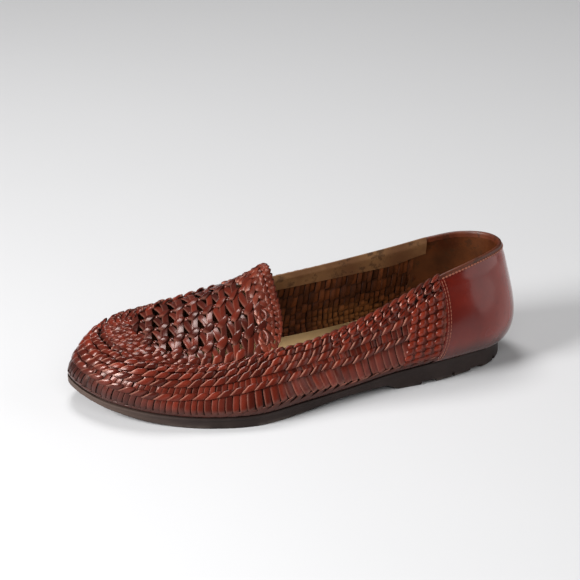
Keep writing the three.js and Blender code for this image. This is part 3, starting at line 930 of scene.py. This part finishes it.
def counter_stitches():
    """Two rows of stitches along each front edge of the counter and one row along its top."""
    rows = Strands()
    lift = (COUNTER_FACE - 0.05 * MM, COUNTER_FACE + 0.08 * MM, COUNTER_FACE - 0.05 * MM)
    for inset in STITCH_INSETS:
        for edge, sign in ((COUNTER_OUTER, -1), (COUNTER_INNER, 1)):
            turn = np.mod(-sign * angle_at(counter_edge(edge, STITCH_RISES)), 2 * np.pi)
            place = joined(length_of(turn) + sign * inset, STITCH_RISES)
            step = np.diff(place, axis=0) * STITCH_REACH
            middle = (place[1:] + place[:-1]) / 2
            rows.add(middle - step, middle + step, SPINDLE, half=0.24 * MM, thick=0.24 * MM, lift=lift)
    first = COUNTER_END - ROUND[-1] + TOP_STITCH_CLEAR
    lengths = np.arange(first, COUNTER_START - TOP_STITCH_CLEAR, TOP_STITCH_PITCH)
    start = joined(lengths, TOP_STITCH_RISE)
    end = joined(lengths + TOP_STITCH_LENGTH, TOP_STITCH_RISE)
    low = 0.6 * COUNTER_FACE
    rows.add(start, end, SPINDLE, half=0.42 * MM, thick=0.34 * MM, lift=(low, low + 0.2 * MM, low))
    rows.piece("counter_stitches", THREAD, "counter_leather")


# Path of the turned edge over the heel's topline: rise, and height over the wall in millimetres
RIM_PATH = np.array([(0.972, 1.02), (0.99, 0.98), (1.004, 0.8), (1.01, 0.3), (1.011, -0.4), (1.007, -1.0),
                     (0.996, -1.35), (0.982, -1.5), (0.965, -1.75)])
RIM_CLEAR = 0.004  # share of the shoe's length from its ends to the counter's front edges
HEEL_WALL_LENGTH = 60 * MM


def heel_rim():
    """Turned edge of leather over the counter, the wall and the lining round the heel."""
    first = inner_length(COUNTER_INNER[0] - RIM_CLEAR) - ROUND[-1]
    last = outer_length(COUNTER_OUTER[0] - RIM_CLEAR)
    steps = np.linspace(0, 1, len(RIM_PATH))

    def place(u, v, height):
        rise = np.interp(v, steps, RIM_PATH[:, 0]) + height * np.sin(np.pi * v) / HEEL_WALL_LENGTH
        over = np.interp(v, steps, RIM_PATH[:, 1]) * MM + height * np.cos(np.pi * v)
        return on_wall(joined(first + (last - first) * u, rise, over))

    add_piece("heel_rim", sheet(110, 16, place, 0.3 * MM), RIM)


# Wall behind the weave, painted very dark for the shade deep between the strips
BACKING_TOP = 0.985


def backing_wall():
    mesh = strand_template(260, 12, capped=False)
    flat = places(mesh)
    turn = np.mod(np.arctan2(flat[:, 1], flat[:, 0]), 2 * np.pi)
    rise = (flat[:, 2] + 1) / 2 * BACKING_TOP
    put(mesh, on_wall(joined(length_of(turn), rise, 0.0)))
    face_out(mesh)
    piece = add_piece("backing_wall", mesh, BACKING)
    skin = piece.modifiers.new("thickness", "SOLIDIFY")
    skin.thickness = 1.2 * MM
    skin.offset = -1
    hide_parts("upper")


# Courses of the side wall, read off at these lengths round the last: the rise of each twined row, the top of
# the edge row at the sole, and how far the strips lean to the toe for their whole height
COURSE_PLACES = np.array([75, 100, 130, 150, 165, 180, 200, 225, 250, 270, 300]) * MM
LOW_ROW = [0.54, 0.54, 0.54, 0.575, 0.585, 0.58, 0.525, 0.48, 0.455, 0.465, 0.46]
HIGH_ROW = [0.735, 0.738, 0.738, 0.738, 0.735, 0.73, 0.73, 0.7, 0.675, 0.66, 0.61]
KNOT_ROW = [0.845, 0.845, 0.845, 0.838, 0.835, 0.835, 0.83, 0.82, 0.805, 0.795, 0.73]
TOP_ROW = [0.935, 0.935, 0.935, 0.935, 0.935, 0.935, 0.93, 0.92, 0.915, 0.9, 0.85]
RIDGE_ROW = [0.99] * len(COURSE_PLACES)
EDGE_ROW = [0.15, 0.17, 0.18, 0.25, 0.27, 0.25, 0.17, 0.14, 0.15, 0.17, 0.18]
STRIP_LEAN = np.array([10, 18, 22, 28, 32, 25, 13, 12, 12, 13, 14]) * MM
LEAN_TURN = 15 * MM  # length on each side of the toe's tip over which the lean changes sides
FOREFOOT = (170 * MM, 240 * MM)  # lengths between which the back of the foot changes to the forefoot
TOE_SPREAD = 0.6  # angle on each side of the toe's tip over which its own measures fade
TOE_SWELL = 0.9 * MM  # how much higher the upper rows stand at the toe
TOE_SINK = 0.6 * MM  # and how much lower the upright strips and the lowest row
ROW_PITCH = 6.7 * MM
KNOT_LOOP_PITCH = 6.0 * MM
KNOT_LEAF_PITCH = 6.2 * MM
TOP_PITCH = 5.5 * MM
FIN_PITCH = 7 * MM
FIN_REACH = 4.2 * MM
FIN_CLEAR = 4 * MM


def jitter(count, size):
    return (chance.random(count) - 0.5) * 2 * size


def varied(size, count, share):
    """A size for each of many strands, more or less by up to a share."""
    return size * (1 + jitter(count, share))


def from_heel(length):
    """Length from the heel's back; the inner side mirrors the outer one."""
    return TOE_LENGTH - np.abs(TOE_LENGTH - length)


def course(values, length):
    """Value of a course at a length round the last."""
    return np.interp(from_heel(length), COURSE_PLACES, values)


def row_places(first, last, values, pitch):
    """Lengths of a course's strands, set evenly along its true line."""
    fine = np.linspace(first, last, 1500)
    run = run_along(wall(turn_of(fine), course(values, fine)))
    return np.interp(np.arange(0, run[-1], pitch), run, fine)


def toe_share(length):
    """1 at the toe's tip, falling to 0 along both sides of the foot."""
    return np.exp(-((turn_of(length) - np.pi) / TOE_SPREAD) ** 2)


def front_share(length):
    """0 along the back of the foot and 1 along the forefoot."""
    return smoothstep(from_heel(length), *FOREFOOT)


def burnish_at(length, rise):
    """How far the leather is darkened: along the sole, higher round the toe, and a little over the whole
    forefoot.
    """
    edge = course(EDGE_ROW, length)
    low = 1 - smoothstep(rise - edge, -0.05, 0.01 + 0.16 * front_share(length))
    toe = 0.7 * toe_share(length) * (1 - smoothstep(rise, 0.35, 0.7))
    return np.clip(0.9 * low + toe + 0.12 * front_share(length), 0, 0.9)


def strip_places(back_pitch):
    """Lengths of upright strips and their pitch, which changes to the common pitch at the forefoot."""
    fine = np.linspace(OUTER_START, INNER_END, 3000)
    pitch = back_pitch + (STRIP_PITCH - back_pitch) * front_share(fine)
    count = np.concatenate([[0], np.cumsum(np.diff(fine) / pitch[1:])])
    lengths = np.interp(np.arange(count[-1]), count, fine)
    return lengths, np.interp(lengths, fine, pitch)


def side_strips():
    """Upright strips in three bands between the edge row, the two twined rows and the topline."""
    strips = Strands(on_wall, strip_scale)
    bands = (
        (LOW_STRIP_PITCH, EDGE_ROW, LOW_ROW),
        (STRIP_PITCH, LOW_ROW, HIGH_ROW),
        (STRIP_PITCH, HIGH_ROW, TOP_ROW),
    )
    for back_pitch, below, above in bands:
        lengths, pitch = strip_places(back_pitch)
        count = len(lengths)
        lean = course(STRIP_LEAN, lengths) * np.clip((TOE_LENGTH - lengths) / LEAN_TURN, -1, 1)
        foot, head = course(below, lengths) - 0.035, course(above, lengths)
        start = joined(lengths + lean * (foot - 0.5) + jitter(count, 0.4 * MM), foot)
        end = joined(lengths + lean * (head - 0.5) + jitter(count, 0.4 * MM), head)
        depth = 0.1 * MM + jitter(count, 0.2 * MM) - TOE_SINK * toe_share(lengths)
        lift = (depth, depth + 0.35 * MM, depth + 0.4 * MM, depth + 0.3 * MM, depth)
        strips.add(start, end, STRAP, half=varied(0.44 * pitch, count, 0.1), thick=0.75 * MM, lift=lift,
                   roll=jitter(count, 0.3 * MM), dome=0.12, pale=0.45, tip=0.4)
    strips.piece("side_strips", WOVEN, "woven_leather")


def slanted(first, second, reach, tall):
    """Starts and ends of strands round their middles: each starts forward and low and ends back and high."""
    return joined(first + reach, second - tall), joined(first - reach, second + tall)


def twined_row(rows, lengths, values, reach, tall, half, peak, skew, wild=1.0):
    """Leaves of one twined row: each starts on top, with a slanted free edge, and ends tucked in."""
    count = len(lengths)
    rises = course(values, lengths) + jitter(count, 0.006 * wild)
    reach = varied(reach / stretch(lengths, rises), count, 0.08 * wild)
    upward = wall_scale(joined(lengths, rises))[:, 1]
    tall = (tall + jitter(count, 0.25 * MM * wild)) / upward
    swell = TOE_SWELL * smoothstep(rises, 0.5, 0.8) - TOE_SINK * (1 - smoothstep(rises, 0.4, 0.6))
    top = peak + jitter(count, 0.15 * MM * wild) + swell * toe_share(lengths)
    rows.add(*slanted(lengths, rises, reach, tall), LEAF, half=varied(half, count, 0.08 * wild),
             thick=1.0 * MM, lift=(top, top * 1.05, top * 1.05, top * 0.9, -0.4 * MM),
             roll=jitter(count, 0.2 * MM * wild), skew=(-skew, 0.0), dome=0.3, pale=0.0)


def row_span(rise, reach):
    """Lengths of a row's first and last strands, which meet the counter's two front edges."""
    edges = counter_length(np.array([1.0, -1.0]), np.array([rise, rise]))
    return edges[0] + reach - 0.5 * MM, edges[1] - reach - 0.4 * MM


def ring_row(rows, lengths, values, reach, bow):
    """Loops of one row: two arcs that bow apart round a dark middle."""
    count = len(lengths)
    rises = course(values, lengths) + jitter(count, 0.008)
    reach = varied(reach / stretch(lengths, rises), count, 0.1)
    upward = wall_scale(joined(lengths, rises))[:, 1]
    tall = (0.5 * MM + jitter(count, 0.6 * MM)) / upward
    for side, heights in ((1, (0.5, 1.3, 1.6, 1.2, 0.0)), (-1, (0.9, 1.3, 1.1, 0.7, 0.0))):
        lift = [height * MM + jitter(count, 0.15 * MM) for height in heights]
        rows.add(*slanted(lengths, rises, reach, tall), LOOP, half=varied(1.3 * MM, count, 0.12),
                 thick=0.9 * MM, lift=lift, bend=varied(side * bow, count, 0.2), tuck=(0.2, 0.6), dome=0.7,
                 pale=0.0)


def side_braids():
    """Two twined rows, a row of loops and leaves under the topline's, and fins along the sole."""
    rows = Strands()
    for values, shift in ((LOW_ROW, 0.0), (HIGH_ROW, STRIP_PITCH)):
        lengths = row_places(OUTER_START + shift, INNER_END, values, ROW_PITCH)
        half = (1.8 + 0.2 * front_share(lengths)) * MM
        twined_row(rows, lengths, values, reach=3.5 * MM, tall=0.25 * MM, half=half, peak=1.3 * MM,
                   skew=1.5 * MM)
    first, last = row_span(KNOT_ROW[0], 3.1 * MM)
    lengths = row_places(first, LOOPS_END, KNOT_ROW, KNOT_LOOP_PITCH)
    ring_row(rows, lengths, KNOT_ROW, reach=2.9 * MM, bow=1.2 * MM)
    lengths = row_places(LOOPS_END, last, KNOT_ROW, KNOT_LEAF_PITCH)
    twined_row(rows, lengths, KNOT_ROW, reach=3.1 * MM, tall=0.6 * MM, half=1.7 * MM, peak=1.5 * MM,
               skew=1.3 * MM, wild=1.4)
    fins = np.arange(COUNTER_START + FIN_CLEAR, COUNTER_END - FIN_CLEAR, FIN_PITCH)
    tips = course(EDGE_ROW, fins) - 0.06 + jitter(len(fins), 0.01)
    lift = [height * (1 - 0.7 * front_share(fins)) * MM for height in (0.3, 0.6, 0.9, 1.0)]
    rows.add(joined(fins + FIN_REACH, 0.02), joined(fins - FIN_REACH, tips), FIN, half=2.45 * MM,
             thick=0.45 * MM, lift=lift, skew=(0.0, -1.6 * MM), tuck=(0.0, 0.0))
    rows.piece("side_braids", WOVEN, "woven_leather")


def topline_braid():
    """Row along the topline, loops behind and leaves in front, with a spindle over each at the very edge."""
    rows = Strands()
    first, last = row_span(TOP_ROW[0], 2.8 * MM)
    back = row_places(first, LOOPS_END, TOP_ROW, TOP_PITCH)
    front = row_places(LOOPS_END, last, TOP_ROW, TOP_PITCH)
    ring_row(rows, back, TOP_ROW, reach=2.7 * MM, bow=1.15 * MM)
    twined_row(rows, front, TOP_ROW, reach=2.8 * MM, tall=0.4 * MM, half=1.6 * MM, peak=1.4 * MM,
               skew=1.0 * MM, wild=1.7)
    lengths = np.concatenate([back, front])
    edge = np.where(lengths < TOE_LENGTH, 1.015, 0.985)
    start, end = joined(lengths + 3.7 * MM, edge - 0.03), joined(lengths - 3.2 * MM, edge)
    rows.add(start, end, SPINDLE, half=1.6 * MM, thick=1.0 * MM,
             lift=(-0.1 * MM, 0.2 * MM, 0.0, -0.9 * MM), tuck=(0.4, 0.8), dome=0.6, pale=0.2)
    rows.piece("topline_braid", WOVEN, "woven_leather")


# Checks in front of the counter: columns by their distance from its front edge, and rows by their rise
CHECK_COLUMNS = np.array([-7.4, -1.6, 4.2, 10.0, 15.6]) * MM
CHECK_RISES = np.array([0.09, 0.18, 0.27, 0.362, 0.455, 0.55, 0.64, 0.73, 0.81])
CHECK_SLANT = -0.011 / (5.8 * MM)  # change of a row's rise away from the counter
CHECK_HALF_LENGTH = 2.85 * MM
CHECK_HALF_HEIGHT = 2.4 * MM
CHECK_BASE = 0.6 * MM
CHECK_SQUARE = 0.88  # power that squares a round bead
CHECK_OVERLAP = 2.5 * MM  # how far a check's middle may lie behind the counter's edge
GROUND_OVERLAPS = (9 * MM, 2 * MM)  # how far the ground goes under the counter and the upright strips


def check_patch():
    """Basket weave between the upright strips and the counter: plump checks in rows and columns."""
    template = bead_template(2)
    corners = places(template)
    lengths = np.concatenate([COUNTER_START + CHECK_COLUMNS, COUNTER_END - CHECK_COLUMNS])
    slants = CHECK_SLANT * np.concatenate([CHECK_COLUMNS, CHECK_COLUMNS])
    spots = joined(lengths[:, None], CHECK_RISES + slants[:, None]).reshape(-1, 2)
    length, rise = spots.T
    outer_clear = length - counter_length(1.0, rise)
    clear = np.where(length < TOE_LENGTH, outer_clear, counter_length(-1.0, rise) - length)
    spots, clear = spots[clear > -CHECK_OVERLAP], clear[clear > -CHECK_OVERLAP]
    count = len(spots)
    squared = np.sign(corners) * np.abs(corners) ** CHECK_SQUARE
    swell = smoothstep(spots[:, 1:], 0.15, 0.45) * smoothstep(clear[:, None], 0, 3 * MM)
    plump = (1.1 + 1.2 * swell) * MM
    flat = np.empty((count, len(corners), 3))
    flat[..., 0] = spots[:, :1] + jitter((count, 1), 0.25 * MM) + squared[:, 0] * CHECK_HALF_LENGTH
    flat[..., 1] = spots[:, 1:] + squared[:, 1] * CHECK_HALF_HEIGHT / wall_scale(spots)[:, 1:]
    tilt = squared[:, 0] * jitter((count, 1), 0.25 * MM)
    flat[..., 2] = CHECK_BASE + corners[:, 2] * plump + tilt
    mesh = copies(template, count)
    put(mesh, on_wall(flat))
    mark(mesh, "tone", np.repeat(0.5 + 0.5 * chance.random(count), len(corners)))
    mark(mesh, "burnish", np.repeat(burnish_at(spots[:, 0], spots[:, 1]), len(corners)))
    mark(mesh, "shade", np.tile(1 - smoothstep(corners[:, 2], -0.1, 0.4), count))
    face_out(mesh)
    add_piece("check_patch", mesh, WOVEN)


def check_ground():
    """Flat strips that show between the checks."""
    strips = Strands()
    under_counter, under_strips = GROUND_OVERLAPS
    outer = np.array([COUNTER_START - under_counter, OUTER_START + under_strips])
    inner = np.array([INNER_END - under_strips, COUNTER_END + under_counter])
    for ends, away in ((outer, outer - COUNTER_START), (inner, COUNTER_END - inner)):
        slant = CHECK_SLANT * away
        for shift, height in ((0.045, 0.6 * MM), (0.0, 1.0 * MM)):
            rises = CHECK_RISES + shift
            start, end = joined(ends[0], rises + slant[0]), joined(ends[1], rises + slant[1])
            strips.add(start, end, STRAP, half=1.4 * MM, thick=0.4 * MM, lift=(height, height), pale=0.0)
    strips.piece("check_ground", WOVEN, "woven_leather")


# Apron: lengthwise rows by their share of the width, joined by strips that zigzag between them
APRON_ROWS = (1.0, 0.42, 0.02, -0.36, -0.68, -0.98)
ROW_PHASES = (0.0, 0.55, 0.1, 0.6, 0.15, 0.7)
THROAT_PITCH = 7.2 * MM
TOE_PITCH = 9.4 * MM
WEAVE_FROM = 0.66
WEAVE_TO = 0.97
LEAF_REACH = 3.1 * MM / APRON_LENGTH
LEAF_TALL = 2.9 * MM
KNOT_REACH = 1.5 * MM / APRON_LENGTH

# The two strips at each meeting: shares of the pitch from it to their foot and their head, and their depth
ZIGZAG = ((0.06, 0.2, 0.1 * MM), (-0.07, -0.52, 0.5 * MM))


def weave_nodes(phase):
    """Places along the apron where the strips of a row meet, wider apart towards the toe."""
    nodes, at = [], WEAVE_FROM
    while at < WEAVE_TO:
        pitch = np.interp(at, (WEAVE_FROM, WEAVE_TO), (THROAT_PITCH, TOE_PITCH)) / APRON_LENGTH
        nodes.append((at + phase * pitch, pitch))
        at += pitch
    return np.array(nodes).T


def apron_strips():
    """Strips of the open weave: from each meeting on the lower row, one goes straight and one leans back."""
    strips = Strands(on_apron, apron_scale)
    for upper, lower, phase in zip(APRON_ROWS[:-1], APRON_ROWS[1:], ROW_PHASES[1:]):
        node, pitch = weave_nodes(phase)
        count = len(node)
        for foot, head, depth in ZIGZAG:
            start = joined(node + foot * pitch + jitter(count, 0.0015), lower)
            end = joined(node + head * pitch + jitter(count, 0.003), upper)
            lift = (depth, depth + 0.4 * MM, depth + 0.5 * MM, depth + 0.3 * MM, depth - 0.3 * MM)
            strips.add(start, end, STRAP, half=varied(1.75 * MM, count, 0.1), thick=0.65 * MM, lift=lift,
                       roll=jitter(count, 0.4 * MM), bend=jitter(count, 0.4 * MM), tuck=(0.9, 0.9), dome=0.15,
                       pale=0.5)
    strips.piece("apron_strips", APRON_LEATHER, "woven_leather")


def apron_rows():
    """Lengthwise rows: a slanted leaf over each meeting of the strips and a small knot between two leaves."""
    rows = Strands(on_apron, apron_scale)
    for row, phase in zip(APRON_ROWS[1:-1], ROW_PHASES[1:-1]):
        node, pitch = weave_nodes(phase)
        count = len(node)
        tall = LEAF_TALL / apron_scale(joined(node, row))[:, 1]
        start = joined(node + LEAF_REACH, row - tall)
        end = joined(node - LEAF_REACH * 1.1, row + tall)
        peak = 1.6 * MM + jitter(count, 0.3 * MM)
        rows.add(start, end, POINTED, half=varied(2.2 * MM, count, 0.12), thick=0.9 * MM,
                 lift=(peak * 0.7, peak, peak * 1.05, peak * 0.9, 0.2 * MM), roll=jitter(count, 0.4 * MM),
                 dome=0.5, pale=0.0, tip=0.3)
        between = node - 0.5 * pitch
        start = joined(between + KNOT_REACH, row - tall * 0.3)
        end = joined(between - KNOT_REACH, row + tall * 0.15)
        rows.add(start, end, SPINDLE, half=1.3 * MM, thick=0.7 * MM,
                 lift=(0.1 * MM, 0.8 * MM, 0.9 * MM, 0.8 * MM, 0.1 * MM), dome=0.6)
    rows.piece("apron_rows", APRON_LEATHER, "woven_leather")


# Rim of the apron: places by the length round its edge and the inset from it
RIM_ROUND = run_along(top_line(TURNS)[:, :2])
TOE_ROWS = np.array([(0.4, 56), (2.8, 84), (6.0, 50), (9.3, 38), (12.6, 24)]) * MM  # insets and reaches
TOE_ROW_PITCH = 6.4 * MM


def on_rim(flat):
    turn = np.interp(flat[..., 0], RIM_ROUND, TURNS)
    way = top_line(turn + STEP) - top_line(turn - STEP)
    inward = unit(joined(way[..., 1], -way[..., 0]))
    spot = top_line(turn)[..., :2] + inward * flat[..., 1:2]
    along = np.clip((TOP_HEEL_X - spot[..., 0]) / APRON_LENGTH, 0, 0.9995)
    angle = angle_at(along)
    half = section("top_full", angle) * np.sin(angle)
    across = np.clip((spot[..., 1] - section("top_centre", angle)) / half, -1, 1)
    return on_apron(joined(along, across, flat[..., 2]))


def rim_scale(flat):
    """Both flat directions of the rim are in metres."""
    return np.ones((len(flat), 2))


def toe_rows():
    """Tight rows that follow the toe's edge."""
    rows = Strands(on_rim, rim_scale)
    toe = np.interp(np.pi, TURNS, RIM_ROUND)
    for inset, reach in TOE_ROWS:
        lengths = np.arange(toe - reach, toe + reach, TOE_ROW_PITCH)
        count = len(lengths)
        peak = 1.7 * MM + jitter(count, 0.3 * MM)
        rows.add(*slanted(lengths, inset, 3.3 * MM, 0.8 * MM), LEAF, half=1.9 * MM, thick=1.0 * MM,
                 lift=(peak, peak * 1.1, peak, peak * 0.5, -0.4 * MM), roll=jitter(count, 0.35 * MM),
                 skew=(-1.3 * MM, 0.0), dome=0.5, pale=0.0)
    rows.piece("toe_rows", WOVEN, "woven_leather")


# Rows of leaves at the throat: inset as a share of the length, pitch, half width and length in millimetres,
# the way they slant, and extra height in millimetres
THROAT_ROWS = (
    (0.0, 2.9, 1.05, 4.4, 1.0, 0.1),
    (0.009, 2.9, 1.05, 4.4, -1.0, 0.3),
    (0.018, 3.2, 1.2, 4.8, 1.0, 0.3),
    (0.03, 4.4, 1.6, 6.4, -1.0, 0.4),
    (0.045, 5.2, 1.8, 7.4, 1.0, 0.4),
)
THROAT_LENGTH = 84  # of each row, in millimetres
THROAT_REACH = 0.94  # share of the half width
TONGUE_LOOPS = np.array([-0.82, -0.56, 0.3])  # shares of the width where the throat's large loops lie
LOOP_INSET = 0.04
LOOP_REACH = 3.4 * MM
LOOP_BOW = 2.1 * MM


def tongue_edge():
    """Tight weave at the throat: a braided edge, rows of larger leaves behind it and a few large loops."""
    rows = Strands(on_apron, apron_scale)
    for inset, pitch, half, length, slant, high in THROAT_ROWS:
        middle = np.linspace(-THROAT_REACH, THROAT_REACH, int(THROAT_LENGTH / pitch))
        count = len(middle)
        at = throat_along(middle) + inset
        over = length * 0.38 * MM / apron_scale(joined(at, middle))[:, 1]
        back = length * 0.32 * MM / APRON_LENGTH
        peak = (1.1 + high) * MM + jitter(count, 0.2 * MM)
        rows.add(*slanted(at, middle, slant * back, over), LEAF, half=half * MM, thick=0.7 * MM,
                 lift=(peak * 0.3, peak, peak, peak * 0.7, 0.0), roll=jitter(count, 0.2 * MM),
                 skew=(-0.6 * MM, 0.0), dome=0.4, pale=0.0)
    at = throat_along(TONGUE_LOOPS) + LOOP_INSET
    reach = LOOP_REACH / apron_scale(joined(at, TONGUE_LOOPS))[:, 1]
    for bow in (-LOOP_BOW, LOOP_BOW):
        rows.add(*slanted(at, TONGUE_LOOPS, 0.0, reach), LOOP, half=1.15 * MM, thick=0.9 * MM,
                 lift=(1.0 * MM, 1.9 * MM, 2.0 * MM, 1.9 * MM, 0.9 * MM), bend=bow, tuck=(0.3, 0.6), dome=0.8,
                 pale=0.0)
    rows.piece("tongue_edge", WORN, "woven_leather")


RIDGE_PITCH = 3.6 * MM
RIDGE_FROM = THROAT - 0.016


def apron_ridge():
    """Loose knots that join the apron to the side wall."""
    rows = Strands()
    lengths = row_places(outer_length(RIDGE_FROM), inner_length(RIDGE_FROM), RIDGE_ROW, RIDGE_PITCH)
    count = len(lengths)
    rises = course(RIDGE_ROW, lengths) + jitter(count, 0.012)
    reach = varied(2.6 * MM / stretch(lengths, rises), count, 0.25)
    tall = 0.03 + jitter(count, 0.035)
    peak = 1.6 * MM + jitter(count, 0.5 * MM)
    rows.add(*slanted(lengths, rises, reach, tall), LEAF, half=varied(1.35 * MM, count, 0.2), thick=0.8 * MM,
             lift=(0.6 * MM, peak, peak, peak * 0.8, 0.0), roll=jitter(count, 0.5 * MM), dome=0.7)
    rows.piece("apron_ridge", WOVEN, "woven_leather")


# Inside of the upper
INNER_COURSES = (0.04, 0.13, 0.22, 0.31, 0.4, 0.5, 0.66, 0.84)  # rises where the strips cross
INNER_DEPTH = -1.6 * MM
INNER_LEAN = 6.0 * MM
BINDING_FROM = THROAT - 0.02


def inner_strips():
    """Flesh side of the weave: short checks near the insole and longer strips over them."""
    strips = Strands()
    lengths = np.arange(outer_length(0.2), inner_length(0.13), STRIP_PITCH)
    count = len(lengths)
    for number, (low, high) in enumerate(zip(INNER_COURSES[:-1], INNER_COURSES[1:])):
        depth = INNER_DEPTH - (np.arange(count) + number) % 2 * 0.5 * MM
        wander = jitter(count, 0.3 * MM)
        start = joined(lengths - INNER_LEAN * low + wander, low - 0.01 + jitter(count, 0.02))
        end = joined(lengths - INNER_LEAN * high + wander, high + 0.01 + jitter(count, 0.02))
        lift = (depth + 0.5 * MM, depth, depth, depth + 0.5 * MM)
        strips.add(start, end, STRAP, half=varied(1.48 * MM, count, 0.15), thick=-0.4 * MM, lift=lift,
                   roll=jitter(count, 0.25 * MM), tuck=(0.8, 0.8))
    strips.piece("inner_strips", INNER_STRIP, "woven_leather")


def topline_binding(name, first, last, top, turned):
    """Thin strip sewn in under a topline, up to a rise; turned is how far it turns out over the edge."""
    def place(u, v, height):
        low = 0.8 + 0.05 * smoothstep(u, 0.8, 1.0)
        inside = -2.6 * MM + turned * smoothstep(v, 0.7, 1.0) - height
        return on_wall(joined(first + (last - first) * u, low + (top - low) * v, inside))

    add_piece(name, sheet(80, 10, place, 0.8 * MM), BINDING)


def heel_lining():
    first = inner_length(0.17) - ROUND[-1]
    last = outer_length(0.235)

    def place(u, v, height):
        rise = 0.03 + 0.965 * v
        inset = 1.7 * MM * (1 - 0.62 * smoothstep(rise, 0.84, 1.0))
        return on_wall(joined(first + (last - first) * u, rise, -inset - 0.7 * MM - height))

    add_piece("heel_lining", sheet(90, 24, place, 0.7 * MM), HEEL_LINING)


# Stage, lights and camera
CAMERA_AZIMUTH = math.radians(-22.5)
CAMERA_ELEVATION = math.radians(25.0)
CAMERA_DISTANCE = 1.3
FOCAL_PIXELS = 2305.0
PICTURE_PIXELS = 580
ORIGIN_PIXEL = (296.8, 377.7)
SENSOR = 36.0  # millimetres
FLOOR_HALF = 4.0
FLOOR_SHIFT = (0.0, 0.6, 0.0)
SKY = (1.0, 0.98, 0.96, 1.0)
SKY_STRENGTH = 0.06

# Lights: name, place, target, size, power, and whether the leather mirrors them
LIGHTS = (
    ("window", (-1.15, -0.2, 0.66), (0, 0, 0.03), 0.55, 23, True),
    ("fill", (-0.3, -1.15, 0.9), (0, 0, 0.03), 0.9, 6.4, False),
    ("panel", (1.15, -0.5, 0.4), (0.05, 0, 0.03), 1.3, 5, True),
    ("ceiling", (0.0, 0.6, 1.4), (0.05, 0, 0.0), 0.62, 11, True),
)


def aim(made, place, target):
    """Puts a camera or light in its place, turned to its target."""
    made.location = place
    made.rotation_euler = (Vector(target) - Vector(place)).to_track_quat("-Z", "Y").to_euler()
    bpy.context.scene.collection.objects.link(made)


def camera():
    back = Vector((
        math.sin(CAMERA_AZIMUTH) * math.cos(CAMERA_ELEVATION),
        -math.cos(CAMERA_AZIMUTH) * math.cos(CAMERA_ELEVATION),
        math.sin(CAMERA_ELEVATION),
    ))
    right = Vector((math.cos(CAMERA_AZIMUTH), math.sin(CAMERA_AZIMUTH), 0.0))
    up = back.cross(right)
    aside = (PICTURE_PIXELS / 2 - ORIGIN_PIXEL[0]) / FOCAL_PIXELS * CAMERA_DISTANCE
    above = (ORIGIN_PIXEL[1] - PICTURE_PIXELS / 2) / FOCAL_PIXELS * CAMERA_DISTANCE
    data = bpy.data.cameras.new("photo_camera")
    data.sensor_width = SENSOR
    data.lens = FOCAL_PIXELS / PICTURE_PIXELS * SENSOR
    data.clip_end = 20
    made = bpy.data.objects.new("photo_camera", data)
    origin = Vector(ORIGIN)
    aim(made, origin + back * CAMERA_DISTANCE, origin + right * aside + up * above)
    bpy.context.scene.camera = made


def area_light(name, place, target, size, power, mirrored):
    """Round soft light; one that isn't mirrored brightens the leather without a reflection on it."""
    data = bpy.data.lights.new(name, "AREA")
    data.shape = "DISK"
    data.size = size
    data.energy = power
    made = bpy.data.objects.new(name, data)
    made.visible_glossy = mirrored
    aim(made, place, target)


def stage():
    bm = bmesh.new()
    bmesh.ops.create_grid(bm, x_segments=1, y_segments=1, size=FLOOR_HALF)
    bmesh.ops.translate(bm, verts=bm.verts, vec=FLOOR_SHIFT)
    floor = bpy.data.objects.new("floor", mesh_of(bm, "floor"))
    paint = Paint("floor_paper")
    colour = paint.mix(paint.noise(3.0), rgb(210, 210, 211), rgb(214, 214, 215))
    floor.data.materials.append(paint.done(colour, 0.9))
    bpy.context.scene.collection.objects.link(floor)
    world = bpy.data.worlds.new("studio")
    world.use_nodes = True
    sky = world.node_tree.nodes["Background"]
    sky.inputs["Color"].default_value = SKY
    sky.inputs["Strength"].default_value = SKY_STRENGTH
    bpy.context.scene.world = world
    for light in LIGHTS:
        area_light(*light)
    bpy.context.scene.view_settings.view_transform = "Standard"


outsole()
insole()
backing_wall()
counter_panel()
counter_stitches()
heel_rim()
side_strips()
side_braids()
topline_braid()
check_patch()
check_ground()
apron_strips()
apron_rows()
toe_rows()
tongue_edge()
apron_ridge()
inner_strips()
topline_binding("outer_binding", outer_length(BINDING_FROM), outer_length(0.2), 0.99, 0.0)
topline_binding("inner_binding", inner_length(BINDING_FROM), inner_length(0.14), 1.02, 1.4 * MM)
heel_lining()
stage()
camera()
